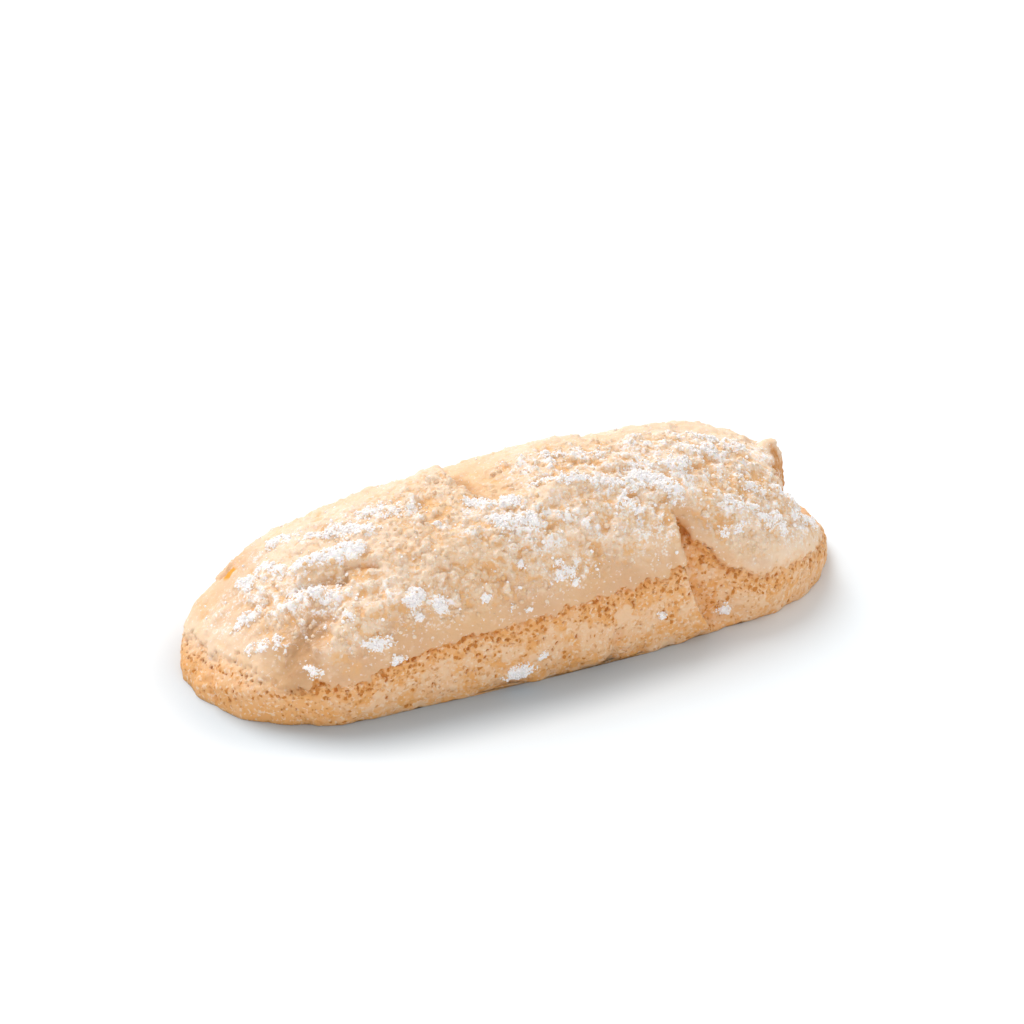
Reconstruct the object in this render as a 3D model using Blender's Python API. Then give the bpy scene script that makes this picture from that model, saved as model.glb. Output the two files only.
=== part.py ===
"""Ladyfinger: a dry sponge biscuit with a cracked crust and clumps of sugar.

One closed body. X runs along the biscuit, the front side faces -Y, the flat
sole lies in the plane z = 0 and +Z points up. The loaf is lofted from an
elliptic cross-section, then its named forms (hollow, fold, cleft, trough,
torn end, crust rim) are pressed into it, then crumb relief, then sugar.
"""
import math
import random

import bmesh
import bpy
import numpy as np
from mathutils import Matrix, Vector, noise
from mathutils.bvhtree import BVHTree

MM = 0.001

# Loaf (millimetres)
LENGTH = 112.0
CROWN = 27.5
HALF_WIDTH = 20.4
LEFT_DROP = 19.0
LEFT_POWER = 2.2
RIGHT_DROP = 7.5
RIGHT_POWER = 2.0
LEFT_ROUND = 20.5
RIGHT_ROUND = 27.2
END_POWER = 0.86
WAIST = 6.0
SOLE_INSET = 1.2
SQUARENESS = 2.15
BEND = -2.2
SKIRT = 1.6

# Meshing
STATIONS = 240
DOME_STEPS = 96
SIDE_STEPS = 14
VOXEL = 0.62
BODY_TRIANGLES = 8800
WELD = 0.006
PINCH_PASSES = 2

# Hollow in the crown
HOLLOW_DEPTH = 2.6
HOLLOW_LEDGE = -10.8
HOLLOW_FRONT = -9.4

# Fold in the front side and the lobe on its right
FOLD_TOP_X = 19.7
FOLD_TOP_Z = 18.0
FOLD_CURVE = 0.0185
FOLD_PROUD = 1.1
FOLD_RECESS = 1.9
WEDGE_RECESS = 0.9

# Torn end
CLIFF_X = 48.5
CLIFF_SLOPE = 0.55
TERRACE_X = 50.0
TERRACE_Z = 7.3
TERRACE_FALL = 0.9
TERRACE_TILT = 0.15
SHOULDER_PULL = 1.1
LEFT_STRETCH = 0.8
HORN_RISE = 2.3
BEVEL_REACH = 2.5
BEVEL_DROP = 1.7

# Crust rim
RIM_PROUD = 0.45
RIM_FRONT_X = (-50.0, -46.5, -43.0, -39.5, -35.5, -32.5, -28.0, -18.0, -5.0, 4.0, 15.0, 19.0)
RIM_FRONT_Z = (7.4, 7.0, 8.2, 7.2, 7.8, 9.4, 10.3, 11.3, 12.0, 12.7, 13.3, 14.6)
LOBE_RIM_X = (21.0, 24.0, 27.0, 31.0, 34.0, 39.0, 46.0, 50.0)
LOBE_RIM_Z = (19.5, 16.0, 13.0, 10.4, 8.8, 9.2, 7.6, 7.0)
RIM_BACK_Z = 8.2
LEFT_RIM_Y = (-15.0, -8.4, -2.2, 8.6)
LEFT_RIM_Z = (7.2, 8.4, 6.6, 4.6)

# Relief
SWELL = 0.5
SWELL_SIZE = 14.0
CRAG = 0.5
CRAG_SIZE = 4.2
CRUMB = 0.24
CRUMB_SIZE = 2.1
ROOT = 0.12

# Sugar
SUGAR_SEED = 41
LUMP_SIDES = 5
LUMP_RINGS = 4
LUMP_PITCH = 2.9
LUMP_LIMIT = 66

# Streaks of sugar: start (x, y), end (x, y), width, thickness
SUGAR_STREAKS = (
    ((-38.9, -3.0), (-29.1, -5.3), 2.3, 1.0),
    ((-32.0, -1.0), (-25.4, -3.2), 3.3, 0.8),
    ((-42.2, -4.6), (-36.5, -13.4), 3.0, 0.8),
    ((-48.5, -8.5), (-44.8, -12.5), 2.3, 0.7),
    ((-40.4, 8.6), (-35.6, 7.8), 1.3, 0.5),
    ((-47.6, 6.8), (-42.6, 3.6), 1.6, 0.6),
    ((-49.0, -3.6), (-46.0, -0.4), 1.8, 0.6),
    ((-27.4, -18.3), (-25.6, -18.3), 2.3, 0.7),
    ((-23.6, -18.7), (-20.6, -19.0), 2.0, 0.7),
    ((-36.2, -19.6), (-31.6, -20.1), 2.0, 0.7),
    ((-8.2, -11.6), (-4.2, -13.8), 3.6, 1.0),
    ((-12.0, -7.6), (-8.2, -1.6), 1.6, 0.6),
    ((0.8, -7.2), (9.8, -9.8), 1.5, 0.6),
    ((7.6, -2.8), (14.0, -4.4), 2.3, 0.6),
    ((17.2, -9.6), (22.4, -12.0), 3.6, 1.0),
    ((12.0, -12.6), (14.8, -13.6), 2.0, 0.7),
    ((35.4, -0.4), (40.4, -2.4), 2.3, 0.7),
    ((34.4, -11.0), (38.4, -12.6), 2.0, 0.7),
    ((36.6, -15.0), (41.2, -16.6), 2.3, 0.6),
    ((3.2, -18.0), (6.0, -19.2), 2.3, 0.7),
    ((27.2, -18.4), (31.4, -19.6), 1.6, 0.5),
    ((24.4, 3.0), (29.2, 2.4), 1.3, 0.5),
)

# Lumps caught on the front side: x, z, length, width
SIDE_LUMPS = (
    (-9.8, 2.4, 3.2, 2.4),
    (-6.2, 4.8, 1.5, 1.1),
    (26.7, 4.4, 2.1, 1.6),
    (-44.5, 9.7, 3.0, 2.0),
    (-29.0, 10.4, 2.6, 1.5),
)


def ease(value):
    """Smooth step from 0 to 1."""
    t = np.clip(value, 0.0, 1.0)
    return t * t * (3.0 - 2.0 * t)


def section(x):
    """Half width, height and end rounding of the loaf at x."""
    u = 2.0 * x / LENGTH
    left = LEFT_DROP * np.abs(u) ** LEFT_POWER
    right = RIGHT_DROP * np.abs(u) ** RIGHT_POWER
    height = CROWN - np.where(u < 0.0, left, right)
    from_left = np.clip((x + LENGTH / 2.0) / LEFT_ROUND, 0.0, 1.0)
    from_right = np.clip((LENGTH / 2.0 - x) / RIGHT_ROUND, 0.0, 1.0)
    round_left = np.sqrt(1.0 - (1.0 - from_left) ** 2)
    round_right = np.sqrt(1.0 - (1.0 - from_right) ** 2)
    rounding = round_left * round_right
    return HALF_WIDTH * rounding, height * rounding ** END_POWER, rounding


def bend(x):
    """Sideways bow of the loaf's centre line."""
    return BEND * (1.0 - (2.0 * x / LENGTH) ** 2)


def capsule(x, y, start, end, radius):
    """Falloff, 1 on the segment from start to end and 0 at the radius."""
    dx = end[0] - start[0]
    dy = end[1] - start[1]
    along = ((x - start[0]) * dx + (y - start[1]) * dy) / (dx * dx + dy * dy)
    along = np.clip(along, 0.0, 1.0)
    gap = np.hypot(x - start[0] - along * dx, y - start[1] - along * dy)
    return ease(1.0 - gap / radius)


def fold_edge(z):
    """X of the fold's edge at height z on the front side."""
    return FOLD_TOP_X + FOLD_CURVE * (FOLD_TOP_Z - z) ** 2


def rim_height(x, y):
    """Height of the crust's lower edge."""
    front = np.interp(x, RIM_FRONT_X, RIM_FRONT_Z)
    lobe = np.interp(x, LOBE_RIM_X, LOBE_RIM_Z)
    front = np.where(x > FOLD_TOP_X + 1.0, lobe, front)
    rear = RIM_BACK_Z + 1.2 * np.sin(x * 0.11 + 0.6) + 0.4 * np.sin(x * 0.73)
    side = ease((y + 6.0) / 10.0)
    left = np.interp(y, LEFT_RIM_Y, LEFT_RIM_Z)
    end = ease((-47.0 - x) / 5.0)
    return (front * (1.0 - side) + rear * side) * (1.0 - end) + left * end


def front_side(y):
    """1 on the front side of the loaf, 0 from its middle backwards."""
    return ease((-13.5 - y) / 4.0)


def hollow(x, y):
    """Depth of the hollow in the crown, steep on its left."""
    bow = np.where(y < 0.5, 0.035, 0.02) * (y - 0.5) ** 2
    ledge = ease((x - HOLLOW_LEDGE - bow + 0.9) / 1.8)
    ramp = 1.0 - ease((x + 6.5) / 11.0)
    front = ease((y - HOLLOW_FRONT) / 3.6)
    rear = 1.0 - 0.65 * ease((y - 4.0) / 9.0)
    return HOLLOW_DEPTH * ledge * ramp * front * rear


def crown_forms(x, y):
    """Height added to the crown by the named forms seen from above."""
    rise = -hollow(x, y)
    rise = rise + 0.55 * capsule(x, y, (-13.5, 5.0), (-12.2, -6.0), 3.0)
    rise = rise + 0.8 * capsule(x, y, (-40.0, -3.6), (-30.5, -7.2), 1.9)
    rise = rise - 1.8 * capsule(x, y, (-40.0, -6.8), (-34.5, -9.7), 1.9)
    rise = rise - 0.9 * capsule(x, y, (-33.3, -8.4), (-29.0, -11.0), 1.4)
    rise = rise - 2.0 * capsule(x, y, (-39.0, -13.0), (-46.5, -14.6), 4.2)
    rise = rise + 1.0 * capsule(x, y, (-39.5, -18.2), (-28.5, -17.4), 3.4)
    rise = rise + 0.7 * capsule(x, y, (-20.0, -14.0), (-6.0, -14.5), 4.0)
    rise = rise + 0.9 * capsule(x, y, (-21.0, 10.7), (-20.4, 10.9), 1.5)
    rise = rise - 0.4 * ease((-29.7 - x) / 1.2) * ease((x + 36.0) / 5.0) * ease((y - 6.0) / 4.0)
    rise = rise - 1.2 * capsule(x, y, (-45.6, 12.1), (-45.0, 12.5), 1.7)
    rise = rise + 0.8 * capsule(x, y, (2.0, -9.5), (16.0, -7.0), 3.0)
    rise = rise + 0.4 * capsule(x, y, (24.0, -8.0), (33.0, -5.0), 3.0)
    rise = rise - 0.8 * capsule(x, y, (17.0, -2.5), (20.0, 4.0), 3.0)
    rise = rise - 1.9 * capsule(x, y, (19.0, 6.0), (33.0, 5.0), 7.5)
    rise = rise - 0.9 * capsule(x, y, (-28.0, 8.5), (-15.0, 8.5), 7.0)
    rise = rise - 0.7 * capsule(x, y, (34.0, 4.0), (41.0, 3.0), 6.0)
    rise = rise - 1.4 * capsule(x, y, (46.0, -12.8), (51.0, -11.8), 3.4)
    return rise


def tear(x, y, z):
    """Height left after the torn end is broken away behind its cliff."""
    line = CLIFF_X + CLIFF_SLOPE * y + 0.35 * np.sin(y * 1.3)
    horn = HORN_RISE * ease(1.0 - np.hypot(x - line + 1.8, (y - 0.5) * 0.6) / 2.6)
    bevel = ease((x - line + BEVEL_REACH) / BEVEL_REACH) * ease((y + 9.5) / 2.0) * ease((-0.6 - y) / 1.4)
    horn = horn - BEVEL_DROP * bevel
    twin = 0.9 * capsule(x, y, (43.4, 3.2), (44.2, 3.4), 1.5)
    raised = z + np.where(z > WAIST, horn + twin, 0.0)
    terrace = TERRACE_Z - TERRACE_FALL * (x - TERRACE_X) - TERRACE_TILT * (y + 4.0)
    terrace = terrace + 0.3 * np.sin(x * 1.1 + y * 0.9)
    terrace = np.maximum(terrace, WAIST * 0.6)
    drop = np.maximum(raised - terrace, 0.0)
    behind = ease((x - line + 0.35) / 0.7) * ease((y + 12.5) / 3.0)
    return raised - drop * behind


def side_push(x, y, z):
    """Outward push of the front side: fold, lobe, wedge and creases."""
    gap = x - fold_edge(np.clip(z, 0.0, 20.5))
    lift = ease(z / 3.0) * (1.0 - ease((z - 19.5) / 4.0))
    proud = FOLD_PROUD * np.exp(-np.abs(gap) / 3.4) * (gap <= 0.0)
    recess = FOLD_RECESS * ease((gap + 0.3) / 0.9) * (1.0 - ease(gap / 11.0))
    push = (proud - recess) * lift
    lobe = np.interp(x, LOBE_RIM_X, LOBE_RIM_Z)
    below = ease((lobe - z) / 1.2) * ease((gap + 0.2) / 0.8)
    push = push - WEDGE_RECESS * below * (1.0 - ease((x - 27.0) / 9.0)) * lift
    crease = np.exp(-((x - 7.2 - 0.25 * (z - 4.0)) / 0.8) ** 2)
    push = push - 0.8 * crease * (1.0 - ease((z - 5.0) / 2.5))
    push = push + 0.5 * ease((7.0 - x) / 0.8) * ease((x + 2.0) / 6.0) * (1.0 - ease((z - 5.0) / 3.0))
    for x0, width, depth in ((-12.7, 4.0, 0.9), (4.6, 3.6, 0.9), (28.0, 5.0, 0.9)):
        pinch = depth * np.exp(-((x - x0) / width) ** 2)
        push = push - pinch * (1.0 - ease((z + 0.4) / 3.4))
    return push * front_side(y)


def loft_point(x, t, s):
    """Point of the loaf: t goes over the dome, s down the side if not None."""
    half, height, rounding = section(x)
    waist = WAIST * np.sqrt(rounding)
    power = 2.0 / SQUARENESS
    if s is None:
        c = np.cos(t)
        y = half * np.sign(c) * np.abs(c) ** power
        z = waist + (height - waist) * np.abs(np.sin(t)) ** power
    else:
        low = np.minimum(s, 1.0)
        tuck = SOLE_INSET * rounding * (1.0 - np.sqrt(1.0 - low ** 2))
        y = t * (half - tuck)
        z = waist * (1.0 - low) - SKIRT * np.maximum(s - 1.0, 0.0)
    return x, y + bend(x), z


def make_loft():
    """Closed quad loft of the loaf, with a skirt below the sole plane."""
    ring = []
    for i in range(DOME_STEPS + 1):
        ring.append((math.pi * i / DOME_STEPS, None))
    sides = [(i + 1) / SIDE_STEPS for i in range(SIDE_STEPS)] + [2.0]
    for s in sides:
        ring.append((-1.0, s))
    for s in reversed(sides):
        ring.append((1.0, s))
    v = np.linspace(-1.0, 1.0, STATIONS)
    stations = (0.45 * np.sin(v * math.pi / 2.0) + 0.55 * v) * (LENGTH / 2.0 - 0.02)
    cols = [loft_point(stations, t, s) for t, s in ring]
    x = np.stack([c[0] for c in cols], 1)
    y = np.stack([c[1] for c in cols], 1)
    z = np.stack([c[2] + 0.0 * c[0] for c in cols], 1)
    return x, y, z, len(ring)


def press_forms(x, y, z):
    """Apply the named forms to arrays of loft points."""
    over = ease((z - WAIST) / 3.0)
    z = z + crown_forms(x, y) * over
    z = np.where(z > 1.0, tear(x, y, z), z)
    y = y - side_push(x, y, z)
    end = np.exp(-((x + 54.0) / 2.5) ** 2)
    crease = np.exp(-((y + 4.4 - 0.9 * (z - 4.0)) / 0.9) ** 2) * ease(z / 1.5)
    x = x + 0.6 * end * crease * (z < 7.0)
    x = x - SHOULDER_PULL * ease((x - 50.0) / 5.0) * ease((z - 2.5) / 4.0)
    x = x - LEFT_STRETCH * ease((-44.0 - x) / 9.0)
    return x, y, z


def mesh_object(name, verts, faces):
    """New object holding a mesh of millimetre points, in metres."""
    mesh = bpy.data.meshes.new(name)
    mesh.from_pydata([(a * MM, b * MM, c * MM) for a, b, c in verts], [], faces)
    mesh.update()
    thing = bpy.data.objects.new(name, mesh)
    bpy.context.scene.collection.objects.link(thing)
    return thing


def activate(thing):
    """Make one object the only selected and active one."""
    for other in bpy.context.scene.objects:
        other.select_set(other == thing)
    bpy.context.view_layer.objects.active = thing


def apply_modifier(thing, kind, **settings):
    """Add a modifier with its settings and apply it."""
    step = thing.modifiers.new(kind.title(), kind)
    for key, value in settings.items():
        setattr(step, key, value)
    activate(thing)
    bpy.ops.object.modifier_apply(modifier=step.name)


def make_body(name):
    """Loft with the named forms, evenly meshed."""
    x, y, z, count = make_loft()
    x, y, z = press_forms(x, y, z)
    verts = list(zip(x.ravel(), y.ravel(), z.ravel()))
    faces = []
    for i in range(STATIONS - 1):
        for j in range(count):
            k = (j + 1) % count
            faces.append((i * count + j, i * count + k, (i + 1) * count + k, (i + 1) * count + j))
    faces.append(tuple(range(count - 1, -1, -1)))
    base = (STATIONS - 1) * count
    faces.append(tuple(range(base, base + count)))
    body = mesh_object(name, verts, faces)
    apply_modifier(body, 'REMESH', mode='VOXEL', voxel_size=VOXEL * MM, adaptivity=0.0)
    return body


def crumb(point, size, seed):
    """Signed noise at a point in millimetres."""
    return noise.noise(Vector(point) / size + Vector((seed, seed * 0.7, -seed)))


def relief(point, normal):
    """Push along the normal from swell, crust rim, crags and crumb."""
    x, y, z = point
    rim = float(rim_height(np.array(x), np.array(y)))
    crust = float(ease((z - rim + 0.35) / 0.7))
    top = float(ease((normal[2] - 0.25) / 0.4)) * float(ease((z - rim - 1.5) / 3.0))
    push = SWELL * crumb(point, SWELL_SIZE, 3.1)
    push += RIM_PROUD * crust
    ridge = 1.0 - 2.0 * abs(crumb(point, CRAG_SIZE, 11.7))
    push += CRAG * (ridge - 0.45) * (0.25 + 0.75 * top) + ROOT
    push += CRUMB * crumb(point, CRUMB_SIZE, 23.9) * (0.5 + 0.5 * top)
    skirt = float(ease((z - 0.3) / 1.5))
    return push * (0.35 + 0.65 * skirt)


def add_relief(body):
    """Move the vertices of the body along their normals."""
    mesh = body.data
    moves = []
    for vert in mesh.vertices:
        point = tuple(c / MM for c in vert.co)
        moves.append(vert.normal * relief(point, vert.normal) * MM)
    for vert, move in zip(mesh.vertices, moves):
        vert.co = vert.co + move
    mesh.update()


def reduce_body(body):
    """Bring the body to its triangle count and cut its flat sole."""
    apply_modifier(body, 'TRIANGULATE')
    ratio = BODY_TRIANGLES / len(body.data.polygons)
    apply_modifier(body, 'DECIMATE', ratio=ratio, use_collapse_triangulate=True)
    work = bmesh.new()
    work.from_mesh(body.data)
    parts = list(work.verts) + list(work.edges) + list(work.faces)
    cut = bmesh.ops.bisect_plane(
        work, geom=parts, dist=0.00005, plane_co=(0.0, 0.0, 0.0),
        plane_no=(0.0, 0.0, 1.0), clear_inner=True)
    for item in cut['geom_cut']:
        if isinstance(item, bmesh.types.BMVert):
            item.co.z = 0.0
    bmesh.ops.remove_doubles(work, verts=work.verts, dist=0.00008)
    rim = [edge for edge in work.edges if edge.is_boundary]
    bmesh.ops.holes_fill(work, edges=rim, sides=0)
    bmesh.ops.dissolve_degenerate(work, edges=work.edges, dist=0.00005)
    bmesh.ops.triangulate(work, faces=work.faces)
    bmesh.ops.recalc_face_normals(work, faces=work.faces)
    work.to_mesh(body.data)
    work.free()


def make_lump(name, place, normal, heading, size, rng):
    """One irregular lump of sugar, its lower part sunk in the crust."""
    work = bmesh.new()
    bmesh.ops.create_uvsphere(work, u_segments=LUMP_SIDES, v_segments=LUMP_RINGS, radius=1.0)
    for vert in work.verts:
        vert.co *= rng.uniform(0.86, 1.14)
    bmesh.ops.triangulate(work, faces=work.faces)
    side = normal.cross(heading).normalized()
    ahead = side.cross(normal).normalized()
    turn = Matrix((ahead, side, normal)).transposed()
    spin = Matrix.Rotation(rng.uniform(-0.4, 0.4), 3, 'Z')
    scale = Matrix.Diagonal(Vector(size)) * 0.5
    for vert in work.verts:
        vert.co = (turn @ (spin @ (scale @ vert.co)) + place) * MM
    mesh = bpy.data.meshes.new(name)
    work.to_mesh(mesh)
    work.free()
    return bpy.data.objects.new(name, mesh)


def drop_on(tree, x, y):
    """Point and normal of the crust below (x, y), in millimetres."""
    hit = tree.ray_cast(Vector((x, y, 60.0)) * MM, Vector((0.0, 0.0, -1.0)))
    return hit[0] / MM, hit[1]


def press_on(tree, x, z):
    """Point and normal of the front side at (x, z), in millimetres."""
    hit = tree.ray_cast(Vector((x, -60.0, z)) * MM, Vector((0.0, 1.0, 0.0)))
    return hit[0] / MM, hit[1]


def sugar_places(rng):
    """Crown places of the lumps: x, y, heading, length, width, thickness."""
    places = []
    for start, end, width, thick in SUGAR_STREAKS:
        run = Vector((end[0] - start[0], end[1] - start[1], 0.0))
        steps = max(1, round(run.length / LUMP_PITCH))
        for i in range(steps):
            at = (i + 0.5) / steps + rng.uniform(-0.1, 0.1) / steps
            off = rng.uniform(-0.22, 0.22) * width
            across = Vector((-run.y, run.x, 0.0)).normalized() * off
            spot = Vector((start[0], start[1], 0.0)) + run * at + across
            length = min(LUMP_PITCH * rng.uniform(0.72, 0.92), max(run.length, width))
            places.append((spot.x, spot.y, run.normalized(), length,
                           width * rng.uniform(0.6, 0.85), thick * rng.uniform(1.0, 1.3)))
    places.sort(key=lambda p: -p[3] * p[4])
    return places[:LUMP_LIMIT]


def add_sugar(body):
    """Fuse the lumps of sugar to the crust."""
    rng = random.Random(SUGAR_SEED)
    tree = BVHTree.FromObject(body, bpy.context.evaluated_depsgraph_get())
    group = bpy.data.collections.new("sugar")
    bpy.context.scene.collection.children.link(group)
    for index, (x, y, heading, length, width, thick) in enumerate(sugar_places(rng)):
        spot, normal = drop_on(tree, x, y)
        size = (length, width, thick * 2.0)
        lump = make_lump("lump%02d" % index, spot, normal, heading, size, rng)
        group.objects.link(lump)
    for index, (x, z, length, width) in enumerate(SIDE_LUMPS):
        spot, normal = press_on(tree, x, z)
        size = (length, width, 1.5)
        lump = make_lump("side%02d" % index, spot, normal, Vector((1.0, 0.0, 0.0)), size, rng)
        group.objects.link(lump)
    apply_modifier(body, 'BOOLEAN', operation='UNION', operand_type='COLLECTION',
                   collection=group, solver='EXACT')
    for lump in list(group.objects):
        bpy.data.objects.remove(lump)
    bpy.data.collections.remove(group)


def islands(work):
    """Groups of connected vertices of a bmesh, the largest first."""
    left = set(work.verts)
    groups = []
    while left:
        group = {left.pop()}
        edge = list(group)
        while edge:
            near = {e.other_vert(v) for v in edge for e in v.link_edges} - group
            group |= near
            edge = list(near)
        left -= group
        groups.append(group)
    return sorted(groups, key=len, reverse=True)


def open_pinches(work):
    """Reopen places where two folds of the skin share an edge."""
    for _ in range(PINCH_PASSES):
        pinched = [e for e in work.edges if len(e.link_faces) > 2]
        around = {f for e in pinched for v in e.verts for f in v.link_faces}
        bmesh.ops.delete(work, geom=list(around), context='FACES')
        bare = [e for e in work.edges if not e.link_faces]
        bmesh.ops.delete(work, geom=bare, context='EDGES')
        rim = [e for e in work.edges if e.is_boundary]
        bmesh.ops.holes_fill(work, edges=rim, sides=0)
        bmesh.ops.triangulate(work, faces=work.faces)


def tidy(body):
    """Weld close points, open pinches, drop loose scraps and shade smooth."""
    work = bmesh.new()
    work.from_mesh(body.data)
    bmesh.ops.remove_doubles(work, verts=work.verts, dist=WELD * MM)
    bmesh.ops.dissolve_degenerate(work, edges=work.edges, dist=WELD * MM)
    bmesh.ops.triangulate(work, faces=work.faces)
    open_pinches(work)
    for scrap in islands(work)[1:]:
        bmesh.ops.delete(work, geom=list(scrap), context='VERTS')
    bmesh.ops.recalc_face_normals(work, faces=work.faces)
    work.to_mesh(body.data)
    work.free()
    for face in body.data.polygons:
        face.use_smooth = True


def biscuit_material():
    """Matt baked crust."""
    material = bpy.data.materials.new("biscuit")
    material.use_nodes = True
    shader = material.node_tree.nodes["Principled BSDF"]
    shader.inputs["Base Color"].default_value = (0.80, 0.58, 0.34, 1.0)
    shader.inputs["Roughness"].default_value = 0.8
    return material


def main():
    """Build the ladyfinger in an emptied scene."""
    for thing in list(bpy.context.scene.objects):
        bpy.data.objects.remove(thing)
    body = make_body("ladyfinger")
    add_relief(body)
    reduce_body(body)
    add_sugar(body)
    tidy(body)
    body.data.materials.clear()
    body.data.materials.append(biscuit_material())


main()
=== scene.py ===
"""Ladyfinger: the finish of a dry sponge biscuit with sugar on its crust.

Sizes inside the modelling functions are in millimetres. X runs along the
biscuit, its folded side faces -Y and its flat sole lies in the plane z = 0.
"""
import math

import bmesh
import bpy
import numpy as np
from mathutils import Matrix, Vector, noise


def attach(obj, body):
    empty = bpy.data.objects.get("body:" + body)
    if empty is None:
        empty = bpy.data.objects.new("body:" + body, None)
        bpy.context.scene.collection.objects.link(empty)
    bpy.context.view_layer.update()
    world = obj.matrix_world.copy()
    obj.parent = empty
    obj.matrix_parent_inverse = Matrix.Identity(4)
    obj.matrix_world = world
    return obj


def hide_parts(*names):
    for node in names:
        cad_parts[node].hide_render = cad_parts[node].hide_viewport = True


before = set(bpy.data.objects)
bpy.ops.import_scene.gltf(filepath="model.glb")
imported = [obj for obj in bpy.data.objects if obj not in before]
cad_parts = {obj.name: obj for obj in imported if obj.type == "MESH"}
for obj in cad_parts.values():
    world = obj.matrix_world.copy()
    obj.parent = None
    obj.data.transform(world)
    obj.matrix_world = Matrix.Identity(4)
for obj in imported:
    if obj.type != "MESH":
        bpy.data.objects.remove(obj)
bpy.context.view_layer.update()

bl_info = {
    "name": "Ladyfinger",
    "version": (1, 0, 0),
    "blender": (4, 5, 0),
    "location": "View3D > Sidebar > Ladyfinger",
    "description": "Models a baked sponge finger biscuit with sugar on it",
    "category": "Add Mesh",
}

MM = 0.001
NODE = "ladyfinger"
BODY = "root"

# Loaf
LENGTH = 112.0
CROWN = 27.5
HALF_WIDTH = 20.4
LEFT_DROP = 19.0
LEFT_POWER = 2.2
RIGHT_DROP = 7.5
RIGHT_POWER = 2.0
LEFT_ROUND = 20.5
RIGHT_ROUND = 27.2
END_POWER = 0.86
WAIST = 6.0
SOLE_INSET = 1.2
SQUARENESS = 2.15
BEND = -2.2
SKIRT = 1.6

# Grid that is wrapped round the loaf: its counts, the shares of a ring that
# reach the waist and the sole, how much its stations crowd towards the ends,
# and how far from each end they stop
STATIONS = 420
RING_STEPS = 330
DOME_SHARE = 0.80
SIDE_SHARE = 0.94
END_CROWDING = 0.45
END_GAP = 0.02

# Hollow in the crown: its ledge bows away to the front and to the back
HOLLOW_DEPTH = 2.6
HOLLOW_LEDGE = -10.8
HOLLOW_FRONT = -9.4
LEDGE_WIDTH = 1.8
LEDGE_MIDDLE = 0.5
BOW_FRONT = 0.035
BOW_BACK = 0.02

# Ridges and dips of the crown: start (x, y), end (x, y), radius, rise
CROWN_FORMS = (
    ((-13.5, 5.0), (-12.2, -6.0), 3.0, 0.55),     # brow of the hollow
    ((-40.0, -3.6), (-30.5, -7.2), 1.9, 0.8),     # bar above the cleft
    ((-40.0, -6.8), (-34.5, -9.7), 1.9, -1.8),    # cleft
    ((-33.3, -8.4), (-29.0, -11.0), 1.4, -0.9),   # thin end of the cleft
    ((-39.0, -13.0), (-46.5, -14.6), 4.2, -2.0),  # trough
    ((-39.5, -18.2), (-28.5, -17.4), 3.4, 1.0),   # swelling below the trough
    ((-20.0, -14.0), (-6.0, -14.5), 4.0, 0.7),    # shoulder in the middle
    ((-21.0, 10.7), (-20.4, 10.9), 1.5, 0.9),     # knob on the back
    ((-45.6, 12.1), (-45.0, 12.5), 1.7, -1.2),    # small hole at the back left
    ((2.0, -9.5), (16.0, -7.0), 3.0, 0.8),        # ridge right of the hollow
    ((24.0, -8.0), (33.0, -5.0), 3.0, 0.4),       # its lower end
    ((17.0, -2.5), (20.0, 4.0), 3.0, -0.8),       # dip across the crown
    ((19.0, 6.0), (33.0, 5.0), 7.5, -1.9),        # broad dip behind it
    ((-28.0, 8.5), (-15.0, 8.5), 7.0, -0.9),      # flat place on the back
    ((34.0, 4.0), (41.0, 3.0), 6.0, -0.7),        # saddle before the horn
    ((46.0, -12.8), (51.0, -11.8), 3.4, -1.4),    # dip above the lobe
)

# Step down across the back of the left end
BACK_STEP = 0.4
BACK_STEP_X = -29.7

# Fold in the front side: its edge, the wedge and the pit beside it, and where
# the lobe on its right begins
FOLD_TOP_X = 19.7
FOLD_TOP_Z = 18.0
FOLD_CURVE = 0.0185
FOLD_REACH_Z = 20.5
FOLD_PROUD = 1.1
FOLD_RECESS = 1.9
WEDGE_RECESS = 0.9
PIT_DEPTH = 1.1
LOBE_X = 22.0

# Crease low in the front side, the lip on its left, and the pinches of the
# foot: x, width, depth
CREASE_DEPTH = 0.8
CREASE_LIP = 0.5
FOOT_PINCHES = ((-12.7, 4.0, 0.9), (4.6, 3.6, 0.9), (28.0, 5.0, 0.9))

# Torn end: cliff, terrace and shoulder, the horn with its smaller twin, and the
# bevel beside them
CLIFF_X = 48.5
CLIFF_SLOPE = 0.55
TERRACE_X = 50.0
TERRACE_Z = 7.3
TERRACE_FALL = 0.9
TERRACE_TILT = 0.15
SHOULDER_PULL = 1.1
HORN_RISE = 2.3
HORN_REACH = 2.6
TWIN_RISE = 0.9
BEVEL_REACH = 2.5
BEVEL_DROP = 1.7

# Left end: where its smoother cap begins, and how far it is drawn out
CAP_X = -44.0
LEFT_STRETCH = 0.8

# Crust rim
RIM_PROUD = 0.45
RIM_FRONT_X = (-50.0, -46.5, -43.0, -39.5, -35.5, -32.5, -28.0, -18.0, -5.0, 4.0, 15.0, 19.0)
RIM_FRONT_Z = (7.4, 7.0, 8.2, 7.2, 7.8, 9.4, 10.3, 11.3, 12.0, 12.7, 13.3, 14.6)
LOBE_RIM_X = (21.0, 24.0, 27.0, 31.0, 34.0, 39.0, 46.0, 50.0)
LOBE_RIM_Z = (19.5, 16.0, 13.0, 10.4, 8.8, 9.2, 7.6, 7.0)
RIM_BACK_Z = 8.2
LEFT_RIM_Y = (-15.0, -8.4, -2.2, 8.6)
LEFT_RIM_Z = (7.2, 8.4, 6.6, 4.6)

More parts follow.
